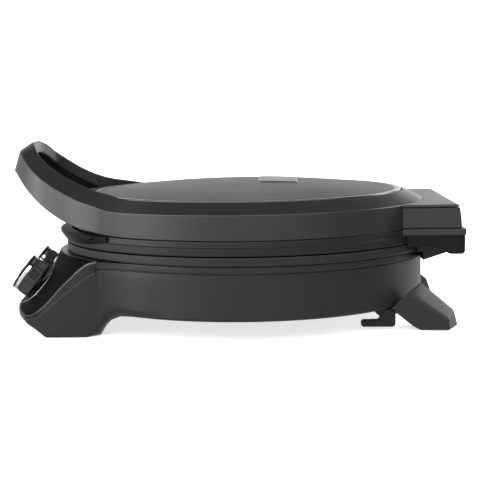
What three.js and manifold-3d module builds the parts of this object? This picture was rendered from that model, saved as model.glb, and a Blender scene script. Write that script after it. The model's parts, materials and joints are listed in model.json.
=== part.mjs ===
// Electric pizza maker: round clamshell cooker with a domed lid, a loop handle at the front,
// a sloping control console with two turning knobs and a rear hinge.
// Millimetres, +Z up. -Y is the front (console and handle), +Y the back (hinge).
// Z = 0 is the floor under the feet; the origin is the centre of the plan outline.
import * as THREE from 'three';
import { mergeVertices } from 'three/addons/utils/BufferGeometryUtils.js';
import Module from 'manifold-3d';

const wasm = await Module();
wasm.setup();

// ---- driving dimensions -------------------------------------------------------------
const Y0 = 11.6;             // shift from the round body's axis to the origin
const SEG = 40;              // facets round the body
const R_BASE = 172;          // base casing wall
const R_BAND = 173.8;        // raised band at the top of the base casing
const R_RIM = 176.2;         // rim rings of base and lid
const Z_BOTTOM = 19.4;       // underside of the base casing
const Z_BASE_TOP = 68.2;     // top of the base casing
const Z_PART = 77.1;         // parting plane between base and lid
const GAP = 0.35;            // air between separate pieces
const HINGE = { y: 195, z: 75, pin: 3.0, bore: 3.4 };
const LID_TOP = 132.5;
const R_COVER = 152.9;       // lid cover inside the handle band
const BAND = { w: 20.5, h: 9.5, t: 22.7, lip: 13, wall: 3 };
const STONE = { r: 151.0, z0: 62.6, z1: 74.6 };
const KNOB = { r: 18.6, h: 12.2, cap: 5.4, x: 38.3, y: -211.2, z: 45.3, tilt: 37 }; // outer face centre of the skirt
const X_SIDE = 131, X_RIM = 121;

// ---- materials ------------------------------------------------------------------------
const std = (color, roughness, metalness = 0) => new THREE.MeshStandardMaterial({ color, roughness, metalness });
const MAT = {
  shell: std(0x2e2e30, 0.45), gloss: std(0x101012, 0.12), knob: std(0x222224, 0.5), chrome: std(0xd8d8da, 0.12, 1),
  steel: std(0x9b9c9e, 0.35, 1), element: std(0x4a4541, 0.5, 1), stone: std(0xc9b48e, 0.9), wool: std(0xe6e2d6, 1),
  rubber: std(0x161617, 0.9), zinc: std(0xb9bcc0, 0.35, 1), ceramic: std(0xe9e6dd, 0.6), lens: std(0xb3261e, 0.2),
  brass: std(0xc8a24a, 0.3, 1), dark: std(0x1d1d1f, 0.6), badge: std(0xb9bbbe, 0.3, 1), white: std(0xf0f0f0, 0.6),
};

// ---- helpers ---------------------------------------------------------------------------
const flipIfInside = (g) => {
  const p = g.attributes.position.array, ix = g.index.array;
  let v = 0;
  for (let i = 0; i < ix.length; i += 3) {
    const a = ix[i] * 3, b = ix[i + 1] * 3, c = ix[i + 2] * 3;
    v += p[a] * (p[b + 1] * p[c + 2] - p[b + 2] * p[c + 1]) - p[a + 1] * (p[b] * p[c + 2] - p[b + 2] * p[c])
       + p[a + 2] * (p[b] * p[c + 1] - p[b + 1] * p[c]);
  }
  if (v < 0) for (let i = 0; i < ix.length; i += 3) { const t = ix[i + 1]; ix[i + 1] = ix[i + 2]; ix[i + 2] = t; }
  return g;
};
const weld = (geo) => {
  const g = geo.index ? geo.clone() : mergeVertices(geo.clone());
  g.deleteAttribute('normal'); g.deleteAttribute('uv');
  const m = mergeVertices(g, 1e-4);
  const ix = [...m.index.array], out = [];
  for (let i = 0; i < ix.length; i += 3) if (ix[i] !== ix[i + 1] && ix[i + 1] !== ix[i + 2] && ix[i] !== ix[i + 2]) out.push(ix[i], ix[i + 1], ix[i + 2]);
  m.setIndex(new THREE.BufferAttribute(new Uint32Array(out), 1));
  return flipIfInside(m);
};
const S = (geo) => {                         // geometry -> solid for joining and cutting
  const g = weld(geo);
  return new wasm.Manifold(new wasm.Mesh({ numProp: 3, vertProperties: new Float32Array(g.attributes.position.array), triVerts: new Uint32Array(g.index.array) }));
};
const G = (solid) => {                       // solid -> geometry
  const m = solid.getMesh(), g = new THREE.BufferGeometry();
  g.setAttribute('position', new THREE.BufferAttribute(new Float32Array(m.vertProperties), 3));
  g.setIndex(new THREE.BufferAttribute(new Uint32Array(m.triVerts), 1));
  g.computeVertexNormals();
  return g;
};
const V2 = (a) => a.map(([x, y]) => new THREE.Vector2(x, y));
// profile of [radius, z], closed on itself or starting and ending on the axis, turned round Z
const lathe = (pts, seg = SEG) => {
  const onAxis = pts[0][0] === 0 && pts[pts.length - 1][0] === 0;
  const g = new THREE.LatheGeometry(V2(onAxis ? pts : [...pts, pts[0]]), seg, Math.PI / 2);
  g.rotateX(Math.PI / 2);
  return weld(g);
};
const disc = (r, z0, z1, seg = SEG) => lathe([[0, z0], [r, z0], [r, z1], [0, z1]], seg);
const box = (x0, x1, y0, y1, z0, z1) => {
  const g = new THREE.BoxGeometry(x1 - x0, y1 - y0, z1 - z0);
  g.translate((x0 + x1) / 2, (y0 + y1) / 2, (z0 + z1) / 2);
  return g;
};
// polygon of [x, y] drawn in plan and raised from z0 to z1
const plan = (pts, z0, z1) => {
  const g = new THREE.ExtrudeGeometry(new THREE.Shape(V2(pts)), { depth: z1 - z0, bevelEnabled: false });
  g.translate(0, 0, z0);
  return g;
};
// polygon of [y, z] drawn from the side and drawn out from x0 to x1
const side = (pts, x0, x1) => {
  const g = new THREE.ExtrudeGeometry(new THREE.Shape(V2(pts)), { depth: x1 - x0, bevelEnabled: false });
  g.applyMatrix4(new THREE.Matrix4().set(0, 0, 1, x0, 1, 0, 0, 0, 0, 1, 0, 0, 0, 0, 0, 1));
  return g;
};
const rod = (r, len, seg = 20) => { const g = new THREE.CylinderGeometry(r, r, len, seg); g.rotateX(Math.PI / 2); return g; }; // along Z, centred
const rodX = (r, x0, x1, y, z, seg = 24) => { const g = new THREE.CylinderGeometry(r, r, x1 - x0, seg); g.rotateZ(Math.PI / 2); g.translate((x0 + x1) / 2, y, z); return g; };
// rings of points, all with the same count, skinned into a tube that closes on itself
const skin = (rings) => {
  const n = rings[0].length, m = rings.length, pos = [], ix = [];
  rings.forEach((r) => r.forEach((p) => pos.push(...p)));
  for (let i = 0; i < m; i++) for (let j = 0; j < n; j++) {
    const a = i * n + j, b = i * n + (j + 1) % n, c = ((i + 1) % m) * n + j, d = ((i + 1) % m) * n + (j + 1) % n;
    ix.push(a, c, b, b, c, d);
  }
  const g = new THREE.BufferGeometry();
  g.setAttribute('position', new THREE.Float32BufferAttribute(pos, 3));
  g.setIndex(ix);
  return g;
};
// a skinned solid whose cap winding is settled by trying both
const loft = (rings, closed = false, capPlane = [1, 2]) => {
  const n = rings[0].length, m = rings.length;
  if (closed) return weld(skin(rings));
  const build = (flip) => {
    const pos = [], ix = [];
    rings.forEach((r) => r.forEach((p) => pos.push(...p)));
    for (let i = 0; i < m - 1; i++) for (let j = 0; j < n; j++) {
      const a = i * n + j, b = i * n + (j + 1) % n, c = (i + 1) * n + j, d = (i + 1) * n + (j + 1) % n;
      ix.push(a, c, b, b, c, d);
    }
    const flat = (k) => rings[k].map((p) => new THREE.Vector2(p[capPlane[0]], p[capPlane[1]]));
    THREE.ShapeUtils.triangulateShape(flat(0), []).forEach(([a, b, c]) => ix.push(...(flip ? [a, b, c] : [a, c, b])));
    THREE.ShapeUtils.triangulateShape(flat(m - 1), []).forEach(([a, b, c]) => ix.push(...(flip ? [a, c, b] : [a, b, c]).map((q) => q + (m - 1) * n)));
    const g = new THREE.BufferGeometry();
    g.setAttribute('position', new THREE.Float32BufferAttribute(pos, 3));
    g.setIndex(ix);
    return g;
  };
  const balanced = (g) => {                    // every directed edge meets its opposite
    const seen = new Set(), ix = g.index.array;
    for (let i = 0; i < ix.length; i += 3) for (let k = 0; k < 3; k++) {
      const e = ix[i + k] + '_' + ix[i + (k + 1) % 3];
      if (seen.has(e)) return false;
      seen.add(e);
    }
    return true;
  };
  const a = build(false);
  return weld(balanced(a) ? a : build(true));
};
// round tube along points, closed ends
const tube = (pts, r, steps, sides = 8) => {
  const curve = new THREE.CatmullRomCurve3(pts.map((p) => new THREE.Vector3(...p)), false, 'centripetal');
  const s = new THREE.Shape();
  for (let i = 0; i < sides; i++) { const a = i / sides * 2 * Math.PI; i ? s.lineTo(r * Math.cos(a), r * Math.sin(a)) : s.moveTo(r, 0); }
  return new THREE.ExtrudeGeometry(s, { steps, extrudePath: curve, bevelEnabled: false });
};
const interp = (tab, x) => {
  if (x <= tab[0][0]) return tab[0][1];
  for (let i = 1; i < tab.length; i++) if (x <= tab[i][0]) { const [a, p] = tab[i - 1], [b, q] = tab[i]; return p + (q - p) * (x - a) / (b - a); }
  return tab[tab.length - 1][1];
};

const pizzaMaker = new THREE.Group();
const body = new THREE.Group();              // everything is drawn about the round body's axis
body.position.y = Y0;
pizzaMaker.add(body);
const add = (name, geo, mat, parent = body) => {
  const m = new THREE.Mesh(geo.isBufferGeometry ? weld(geo) : G(geo), mat);
  m.geometry.computeVertexNormals();
  m.name = name;
  parent.add(m);
  return m;
};

// ======================================== BASE =============================================
// ---- gloss console cover: a scooped surface between a bowed front edge and a circular crest ----
// side rim at |X| = X_RIM as [y, z], and the middle's profile as [z, distance in front of the axis]
const RIM = [[-205, 18.9], [-198.5, 19.0], [-193, 20.5], [-186, 25], [-177, 33.7], [-167.6, 44], [-158, 53.2], [-149, 61.3], [-141, 66.3], [-133, 68.3], [-100, 68.5]];
const zRim = (y) => interp(RIM, y);
const RIM_Z = [[19.0, 198.5], [20.5, 193], [25, 186], [33.7, 177], [44, 167.6], [53.2, 158], [61.3, 149], [66.3, 141], [68.4, 135.5]];
const MIDDLE = [[19.0, 220.3], [21, 217.6], [23.3, 213.9], [26, 211.0], [29, 207.8], [32, 204.8], [35.8, 201.4], [40, 197.5], [44, 194.4], [50, 190.9], [56, 188], [62, 185.6], [68.4, 183]];
const bow = (x) => { const u = Math.min(Math.abs(x) / X_RIM, 1); return u * u * (1 + 0.17 * u * u) / 1.17; };
const coverY = (x, z) => { const m = interp(MIDDLE, z), r = interp(RIM_Z, z); return -m + (m - r) * bow(x); };
const COVER_Z = [19.0, 20.5, 23.3, 26, 29, 33.7, 38, 44, 50, 56, 62, 66.3, 68.4];
const R_LEDGE = 174.3;                       // the flat top behind the crest ends in front of the rim ring
const coverProfile = (x) => [...COVER_Z.map((z) => [coverY(x, z), z]), [-Math.sqrt(R_LEDGE ** 2 - x * x), 68.4]];
const consoleXs = [0, 20, 40, 60, 80, 95, 108, 116, 121];
const mirrored = [...consoleXs.slice(1).map((v) => -v).reverse(), ...consoleXs];
const coverSolid = () => loft(mirrored.map((x) => {
  const out = coverProfile(x), n = out.length, inner = out.map(([y, z], i) => {
    const [ya, za] = out[Math.max(i - 1, 0)], [yb, zb] = out[Math.min(i + 1, n - 1)], l = Math.hypot(yb - ya, zb - za);
    return [y + 2.6 * (zb - za) / l + (i === n - 2 ? 1.2 : 0), z - (i >= n - 2 ? 2.6 : 2.6 * (yb - ya) / l)];
  });
  inner[0] = [out[0][0] + 3.0, out[0][1]];
  inner[n - 1] = [out[n - 1][0], 65.8];
  return [...out, ...inner.reverse()].map(([y, z]) => [x, y, z]);
}));
// everything above a surface 9 below the cover, to clear the housing under it
const coverCutter = () => loft(mirrored.map((x0) => {
  const x = x0 + Math.sign(x0) * (Math.abs(x0) > 120 ? 0.5 : 0), out = coverProfile(x0), n = out.length;
  const rear = -Math.sqrt((R_LEDGE - 0.3) ** 2 - x0 * x0);
  const low = out.slice(0, n - 1).map(([y, z], i) => [i ? y : y - 0.4, Math.max(z - 9, 13.6)]);
  return [...low, [rear, 59.4], [rear, 120], [out[0][0] - 0.4, 120]].map(([y, z]) => [x, y, z]);
}));
const KN = [0, -Math.cos(KNOB.tilt * Math.PI / 180), Math.sin(KNOB.tilt * Math.PI / 180)];   // knob axis, outwards
const onKnob = (sx, d) => [sx * KNOB.x, KNOB.y + KN[1] * d, KNOB.z + KN[2] * d];              // point d along the axis from the skirt's outer face
const alongKnob = (g, sx, d) => { const q = new THREE.Quaternion().setFromUnitVectors(new THREE.Vector3(0, 0, 1), new THREE.Vector3(...KN)); g.applyQuaternion(q); g.translate(...onKnob(sx, d)); return g; };

let cover = S(coverSolid());
for (const sx of [-1, 1]) cover = cover.subtract(S(alongKnob(rod(4.2, 60), sx, -20)));
const lampAt = [0, -189.6, 54];
const alongAt = (g, p) => { const q = new THREE.Quaternion().setFromUnitVectors(new THREE.Vector3(0, 0, 1), new THREE.Vector3(...KN)); g.applyQuaternion(q); g.translate(...p); return g; };
cover = cover.subtract(S(alongAt(rod(4.0, 40), lampAt)));
add('console_cover', cover, MAT.gloss);

// ---- base casing with the console housing and front feet, one moulding ----
const casingRing = lathe([[163.6, Z_BOTTOM], [166.4, Z_BOTTOM], [169.4, 21.0], [171.4, 24.2], [R_BASE, 28], [R_BASE, 61.6], [R_BAND, 62.6], [R_BAND, Z_BASE_TOP],
  [170.6, Z_BASE_TOP], [170.6, 64], [169, 62], [169, 28.4], [167.2, 25], [163.6, 23.6]]);
const LOW = 9.2;                              // height of the sloping strip between side wall and rim
const sections = [];
for (const x of [-X_SIDE, -128.5, -X_RIM, -110, -95, -80, -60, -35, 0, 35, 60, 80, 95, 110, X_RIM, 128.5, X_SIDE]) {
  const ax = Math.abs(x), drop = ax > X_RIM ? LOW * (ax - X_RIM) / (X_SIDE - X_RIM) : 0, lift = ax > 130 ? 2.5 : 0;
  const yf = coverY(x, 19) - 1.7 + (ax > X_RIM ? (ax > 130 ? 4.6 : 2.2) : 0);
  const lowY = ax > 130 ? -113 : -100;
  sections.push([
    [x, lowY, Z_BOTTOM], [x, -107 - (ax > 130 ? 7 : 0), 18.6], [x, -116, 15], [x, -123, 9.5 + lift / 2], [x, -128, 3.5 + lift], [x, -136, lift], [x, -181 + lift, lift],
    [x, yf + 2.4, 14.6 - drop * 0.1], [x, yf, 16.6 - drop * 0.1], [x, yf, 19.2 - drop * 0.2],
    ...COVER_Z.slice(1, 12).map((z) => [x, coverY(x, z), Math.max(z - drop, 18.4 + (z - 20.5) * 0.04 - drop * 0.15)]), [x, coverY(x, 68.4), 68.2 - drop], [x, lowY, 68.2 - drop],
  ]);
}
let housing = S(loft(sections));
housing = housing.subtract(S(box(-88, 88, -230, -90, -5, 11)));              // raised between the two feet
housing = housing.subtract(S(disc(170.5, -1, 200)));                         // clear of the round wall's inside
const hollowPlan = [];
for (let x = -117; x <= 117.01; x += 13) hollowPlan.push([x, coverY(x, 19) + 4]);
const hollow = S(side([[-192, 17.2], [-90, 17.2], [-90, 52], [-133, 52], [-150, 46], [-168, 31], [-184, 20.5]], -127.6, 127.6))
  .add(S(plan([...hollowPlan, [117.5, -90], [-117.5, -90]], 14.0, 120)));
housing = housing.subtract(hollow);
let casing = S(casingRing);
casing = casing.subtract(S(box(-104, 104, -190, -100, 25, 60)));             // window behind the console for the two regulators
casing = casing.add(housing);
casing = casing.subtract(S(disc(168.9, 24.5, 90)));
casing = casing.subtract(S(disc(163.6, -1, 90)));
casing = casing.subtract(S(disc(176.9, Z_BASE_TOP + 0.01, 90)));
casing = casing.subtract(S(coverCutter()));
// seats for the foot pads under the front feet, cord inlet hole at the back
for (const sx of [-1, 1]) casing = casing.subtract(S(box(sx * 111 - 12.4, sx * 111 + 12.4, -172.4, -145.6, -1, 3.4)));
casing = casing.subtract(S((() => { const g = new THREE.CylinderGeometry(6.4, 6.4, 30, 16); g.translate(0, 170, 40); return g; })()));
add('base_casing', casing, MAT.shell);

add('base_rim', lathe([[156.5, 69.6], [170, 68.7], [174.6, 68.7], [R_RIM, 70.2], [R_RIM, 76.0], [175.6, 76.7], [156.5, 76.7]]), MAT.shell);

let bottom = S(lathe([[0, 20.4], [163.1, 20.4], [163.1, 22.8], [0, 22.8]]));
for (let i = 0; i < 6; i++) for (const sx of [-1, 1]) bottom = bottom.subtract(S(box(sx * 60 - 28, sx * 60 + 28, -40 + i * 14, -35 + i * 14, 15, 30)));
add('bottom_cover', bottom, MAT.steel);

// ---- cooking parts in the base ----
let pan = S(lathe([[0, 35.6], [142.6, 35.6], [144.2, 60.9], [152.0, 61.3], [153.2, 67.0], [167, 67.0], [167, 68.2], [152.1, 68.2], [150.9, 62.3], [143.1, 62.1], [141.5, 36.8], [0, 36.8]]));
const LE = { r: 104, z: 48, t: 3.6 };
for (const sx of [-1, 1]) pan = pan.subtract(S((() => { const g = rod(6, 20, 16); g.translate(sx * 18, 102.4, 36); return g; })()));
add('lower_reflector', pan, MAT.steel);
const elementPath = (r, z, zEnd, dir) => {
  const p = [];
  p.push([18, 102.4, zEnd], [18, 102.4, (z + zEnd) / 2], [18, 102.4, z - dir * 5]);
  for (let i = 0; i <= 24; i++) { const a = (72 - i * 324 / 24) * Math.PI / 180; p.push([r * Math.cos(a), r * Math.sin(a), z]); }
  p.push([-18, 102.4, z - dir * 5], [-18, 102.4, (z + zEnd) / 2], [-18, 102.4, zEnd]);
  return p;
};
add('lower_heating_element', tube(elementPath(LE.r, LE.z, 26.5, 1), LE.t, 46, 6), MAT.element);
const clip = (r, z, ang, foot) => {          // U-shaped saddle carrying the element, standing on the pan
  const s = foot < z ? 1 : -1, h = Math.abs(z - foot);
  const g = plan([[-9, 0], [9, 0], [9, h + 2], [5.2, h + 2], [5.2, h - 4.6], [-5.2, h - 4.6], [-5.2, h + 2], [-9, h + 2]], -2, 2);
  g.rotateX(Math.PI / 2); if (s < 0) g.rotateX(Math.PI);
  g.rotateZ(ang); g.translate(r * Math.cos(ang), r * Math.sin(ang), foot);
  return g;
};
[-90, 20, 160].forEach((a, i) => add(`lower_element_clip_${i + 1}`, clip(LE.r, LE.z, a * Math.PI / 180, 37.1), MAT.steel));
add('baking_stone', lathe([[0, STONE.z0], [148.6, STONE.z0], [149.9, STONE.z0 + 1.4], [149.9, STONE.z1 - 1.4], [148.6, STONE.z1], [0, STONE.z1]]), MAT.stone);
add('terminal_block', box(-24, 24, 62, 78, 23.2, 35), MAT.ceramic);

// ---- regulators, lamp and knobs ----
for (const [sx, who] of [[-1, 'thermostat'], [1, 'timer']]) {
  const bodySolid = S(alongKnob((() => { const g = new THREE.CylinderGeometry(10, 10, 10, 16); g.rotateX(Math.PI / 2); return g; })(), sx, -26.2)).subtract(S(alongKnob(rod(3.9, 40, 16), sx, -20)));
  add(`${who}_body`, bodySolid, MAT.zinc);
  // knob: ribbed skirt, chrome cap, pointer and the shaft that turns with it
  const skirt = S(alongKnob((() => {
    const pts = [], n = 36;
    for (let i = 0; i < n; i++) { const a = i / n * 2 * Math.PI, r = KNOB.r - (i % 3 === 1 ? 0.7 : 0); pts.push([r * Math.cos(a), r * Math.sin(a)]); }
    const g = plan(pts, -KNOB.h, 0); return g;
  })(), sx, 0)).subtract(S(alongKnob(rod(3.4, 20), sx, -12))).subtract(S(alongKnob(lathe([[0, -14], [15.6, -14], [15.6, -4], [0, -4]], 24), sx, 0)));
  add(`${who}_knob`, skirt, MAT.knob);
  add(`${who}_knob_cap`, alongKnob(lathe([[0, 0.35], [KNOB.r, 0.35], [KNOB.r, KNOB.cap - 0.6], [KNOB.r - 1.2, KNOB.cap], [12, KNOB.cap + 2.0], [0, KNOB.cap + 2.9]], 30), sx, 0), MAT.chrome);
  add(`${who}_shaft`, alongKnob(rod(3.0, 24, 16), sx, -15.6), MAT.brass);
}
add('pilot_lamp', alongAt(lathe([[0, -11], [3.4, -11], [3.4, 1.0], [2.4, 1.9], [0, 2.2]], 16), lampAt), MAT.lens);

// ---- hinge bracket at the back of the base, pins ----
const arc = (y, z, r, a0, a1, n) => { const p = []; for (let i = 0; i <= n; i++) { const a = (a0 + (a1 - a0) * i / n) * Math.PI / 180; p.push([y + r * Math.cos(a), z + r * Math.sin(a)]); } return p; };
let bracket = S(side([[150, 54.3], [187.6, 66.3], ...arc(HINGE.y, HINGE.z, 8.2, -112, 150, 12), [184, 76.6], [150, 76.6]], -74.5, 74.5));
bracket = bracket.subtract(S(disc(177.2, 67.9, 100))).subtract(S(disc(174.3, 61.2, 68.5))).subtract(S(disc(172.4, 0, 62)));
bracket = bracket.subtract(S(box(-60, 60, 140, 186.5, 70, 90)));
for (const sx of [-1, 1]) bracket = bracket.subtract(S(box(sx * 57 - 18, sx * 57 + 18, 140, 166.4, 50, 67.4)));
for (const sx of [-1, 1]) bracket = bracket.subtract(S(rodX(HINGE.bore, sx > 0 ? 52 : -80, sx > 0 ? 80 : -52, HINGE.y, HINGE.z)));
add('hinge_bracket', bracket, MAT.shell);
for (const [sx, who] of [[-1, 'left'], [1, 'right']]) add(`hinge_pin_${who}`, rodX(HINGE.pin, sx > 0 ? 52.5 : -91.5, sx > 0 ? 91.5 : -52.5, HINGE.y, HINGE.z, 16), MAT.steel);

// ---- rear legs, pads, hooks, inlet, screws ----
for (const [sx, who] of [[-1, 'left'], [1, 'right']]) {
  const outer = [[111, 131, 19.0], [111.5, 149, 35.4], [117, 184.5, 10.8], [117, 184.8, 1.8], [114, 158, 1.8], [113, 152, 4.2], [112, 134.8, 18.0]];
  const inner = [[80, 150, 19.0], [88, 162.7, 41.4], [94, 193.4, 15.3], [86, 196.6, 1.8], [84, 169, 1.8], [83, 164, 4.2], [80, 153, 18.0]];
  let leg = S(loft([outer, inner].map((r) => r.map(([x, y, z]) => [sx * x, y, z]))));
  leg = leg.subtract(S(disc(172.4, 19.0, 60)));
  leg = leg.add(S(plan([[sx * 112, 128], [sx * 110, 140], [sx * 82, 160], [sx * 78, 148], [sx * 96, 130]], 12.5, 19.0)));
  leg = leg.subtract(S(box(sx * 104 - 5.2, sx * 104 + 5.2, 117, 137.6, -1, 19.6)));
  leg = leg.subtract(S(box(sx * 96 - 8.4, sx * 96 + 8.4, 170.6, 187.4, -1, 4)));
  add(`rear_leg_${who}`, leg, MAT.shell);
  add(`rear_foot_pad_${who}`, box(sx * 96 - 8, sx * 96 + 8, 171, 187, 0, 3.6), MAT.rubber);
  add(`front_foot_pad_${who}`, box(sx * 111 - 12, sx * 111 + 12, -172, -146, 0, 3.0), MAT.rubber);
  const hook = side([[105.8, 3.6], [107, 2.7], [134.6, 2.7], [137, 5], [137, 19.0], [120.5, 19.0], [122.3, 11], [121, 9], [107, 9], [105.8, 8]], 99.5, 108.5);
  if (sx < 0) hook.applyMatrix4(new THREE.Matrix4().makeTranslation(-208, 0, 0));
  add(`cord_hook_${who}`, weld(hook), MAT.dark);
}
let gland = S((() => { const g = new THREE.CylinderGeometry(6.0, 6.0, 10, 16); g.translate(0, 167.3, 40); return g; })())
  .add(S((() => { const g = new THREE.CylinderGeometry(8.8, 8.8, 3.2, 20); g.translate(0, 166.6, 40); return g; })()))
  .subtract(S((() => { const g = new THREE.CylinderGeometry(3.6, 3.6, 40, 14); g.translate(0, 172, 40); return g; })()));
add('cord_inlet_gland', gland, MAT.dark);
[[-130, -60], [130, -60], [-70, 130], [70, 130]].forEach(([x, y], i) => {
  const g = lathe([[0, 17.6], [3.0, 17.6], [3.9, 18.4], [3.9, 20.1], [0, 20.1]], 14);
  g.translate(x, y, 0);
  add(`bottom_screw_${i + 1}`, g, MAT.zinc);
});

// ======================================== LID ==============================================
// ---- rim moulding: ring, front lip, rear plate and the two hinge knuckles ----
let rim = S(lathe([[160, 77.5], [R_RIM, 77.5], [R_RIM, 84.8], [174.4, 90.4], [171.4, 90.4], [171.4, 80.6], [163, 80.6], [163, 90.4], [160, 90.4]]));
const lip = [];
for (let a = -45.5; a <= 45.51; a += 6.5) { const t = a * Math.PI / 180, r = interp([[0, 182.7], [20, 182.3], [33, 180.9], [45.5, 178.2]], Math.abs(a)); lip.push([r * Math.sin(t), -r * Math.cos(t)]); }
for (let a = 45.5; a >= -45.51; a -= 6.5) { const t = a * Math.PI / 180; lip.push([172.5 * Math.sin(t), -172.5 * Math.cos(t)]); }
rim = rim.add(S(plan(lip, 81.0, 90.4)));
let plate = S(box(-97.6, 97.6, 110, 203.4, 85.2, 91.2)).subtract(S(disc(172.5, 60, 89.99))).subtract(S(disc(174.9, 89.98, 120)));
rim = rim.add(plate);
const knuckleProfile = [[120, 85.4], [120, 74.6], [177.5, 74.6], [182, 72.2], [186, 68.9], [189, 67.6], [200.6, 67.6], [202.6, 69.6], [202.6, 85.4]];
for (const sx of [-1, 1]) {
  let k = S(side(knuckleProfile, sx > 0 ? 75.1 : -97, sx > 0 ? 97 : -75.1)).subtract(S(disc(177.0, 60, 85.25))).subtract(S(disc(172.5, 60, 100)));
  k = k.subtract(S(rodX(HINGE.bore, sx > 0 ? 70 : -92, sx > 0 ? 92 : -70, HINGE.y, HINGE.z)));
  rim = rim.add(k);
}
for (const sx of [-1, 1]) rim = rim.subtract(S((() => { const g = rod(2.6, 20, 12); g.translate(sx * 60, 186, 88); return g; })()));
add('lid_rim', rim, MAT.shell);

// ---- handle band: a channel that runs round the lid and rises into the front loop ----
// [angle from the front, x, y of the outer top edge, its z, width, rise, height, outward lean at the foot]
const NOSE = [
  [0, 0, -220.6, 163.8, 14.9, 8.6, 17.4, 6.0], [0, 22.2, -218.8, 163.0, 14.6, 8.8, 16.6, 5.8], [0, 40.4, -213.7, 160.7, 14.2, 6.9, 16.6, 5.4],
  [0, 52.8, -208.2, 155.6, 14.0, 6.6, 18.0, 4.9], [0, 63.9, -201.0, 148.7, 14.6, 8.2, 19.5, 4.3], [0, 73.9, -191.8, 141.3, 16.6, 9.8, 21.0, 3.8],
  [0, 80.8, -180.4, 133.5, 18.6, 10.3, 22.4, 3.2], [0, 85.5, -171.0, 128.5, 19.4, 9.5, 23.2, 2.6], [0, 89.2, -163.3, 124.5, 20.0, 8.9, 23.4, 2.0],
  [0, 94.7, -155.0, 121.4, 20.2, 8.7, 23.2, 1.5], [0, 110.4, -135.3, 116.1, 20.4, 9.3, 22.8, 0.7],
];
const stations = [];
for (const [, x, y, z, w, h, t, o] of NOSE) stations.push({ x, y, z, w, h, t, o });
for (let a = 45; a <= 180; a += 9) { const t = a * Math.PI / 180; stations.push({ x: 174 * Math.sin(t), y: -174 * Math.cos(t), z: a < 50 ? 113.9 : 113.4, w: 20.5, h: a < 50 ? 9.5 : BAND.h, t: BAND.t, o: 0 }); }
const half = stations.map((s, i) => {
  const a = stations[Math.max(i - 1, 0)], b = stations[Math.min(i + 1, stations.length - 1)];
  let dx = b.x - a.x, dy = b.y - a.y;
  if (i === 0 || i === stations.length - 1) { dx = i ? -1 : 1; dy = 0; }
  const l = Math.hypot(dx, dy);
  return { ...s, nx: dy / l, ny: -dx / l };      // outward normal in plan
});
const bandSection = (s, sx) => {
  const L = Math.min(BAND.lip, s.t - 3);
  return [[0, 0], [s.o, -s.t], [s.o - BAND.wall, -s.t], [-3.2, -2.2], [-s.w + 3, s.h - 4.2], [-s.w + 3, s.h - L], [-s.w, s.h - L], [-s.w, s.h]]
    .map(([n, z]) => [sx * (s.x + s.nx * n), s.y + s.ny * n, s.z + z]);
};
const bandRings = [...half.map((s) => bandSection(s, 1)), ...half.slice(1, -1).reverse().map((s) => bandSection(s, -1))];
add('handle_band', loft(bandRings, true), MAT.shell);

// ---- lid cover: dome, flat ring, wall; the flat top runs forward between the handle's legs ----
let lidCover = S(lathe([[0, LID_TOP], [60, 130.9], [110, 127.2], [140, 123.8], [151.6, 122.7], [R_COVER, 121.4], [R_COVER, 109.4], [160.5, 96.5], [168.2, 91.0],
  [164.6, 91.0], [157.2, 96.2], [150.2, 109.4], [150.2, 120.0], [138, 121.2], [80, 127.1], [0, 129.9]]));
const shelf = [];
for (let a = -44; a <= 44.01; a += 4) {
  const t = a * Math.PI / 180, lim = interp([[0, 163], [26, 163], [29, 161.6], [33, 157.2], [38, 153.6], [44, 152.4]], Math.abs(a));
  shelf.push([lim * Math.sin(t), -lim * Math.cos(t)]);
}
shelf.push([95, -90], [-95, -90]);
let front = S(plan(shelf, 104, 122.6)).subtract(S(disc(151.5, 90, 140)));
front = front.subtract(S(lathe([[140, 100], [160.2, 100], [160.2, 110], [151.5, 120], [140, 120]])));
lidCover = lidCover.add(front);
add('lid_cover', lidCover, MAT.shell);

// ---- hinge cover behind the band ----
let hingeCover = S(loft([-97, 97].map((x) => [[x, 110, 91.6], [x, 200.0, 91.6], [x, 197.0, 112.4], [x, 195.8, 113.4], [x, 110, 113.4]])));
hingeCover = hingeCover.subtract(S(disc(174.4, 80, 130)));
let hcHollow = S(loft([-93.6, 93.6].map((x) => [[x, 110, 85], [x, 196.6, 85], [x, 194.2, 110.2], [x, 110, 110.2]])));
hcHollow = hcHollow.subtract(S(disc(177.6, 80, 130)));
hingeCover = hingeCover.subtract(hcHollow);
for (const sx of [-1, 1]) hingeCover = hingeCover.add(S((() => { const g = rod(5.2, 18.5, 14); g.translate(sx * 60, 186, 101.05); return g; })()).subtract(S((() => { const g = rod(2.3, 18, 12); g.translate(sx * 60, 186, 98); return g; })())));
add('lid_hinge_cover', hingeCover, MAT.shell);
for (const [sx, who] of [[-1, 'left'], [1, 'right']]) {
  const g = lathe([[0, 82.6], [4.6, 82.6], [4.6, 84.8], [1.9, 84.8], [1.9, 98.5], [0, 98.5]], 14);
  g.translate(sx * 60, 186, 0);
  add(`hinge_screw_${who}`, g, MAT.zinc);
}
add('badge_plate', (() => {
  const rings = [];
  for (const y of [13, 22.5, 32, 41.5, 51]) {
    const xs = [-36, -24, -12, 0, 12, 24, 36];
    const zt = (x) => interp([[0, LID_TOP], [60, 130.9], [110, 127.2]], Math.hypot(x, y)) + 0.35;
    rings.push([...xs.map((x) => [x, y, zt(x) + 0.9]), ...xs.slice().reverse().map((x) => [x, y, zt(x)])]);
  }
  return loft(rings, false, [0, 2]);
})(), MAT.badge);

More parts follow.
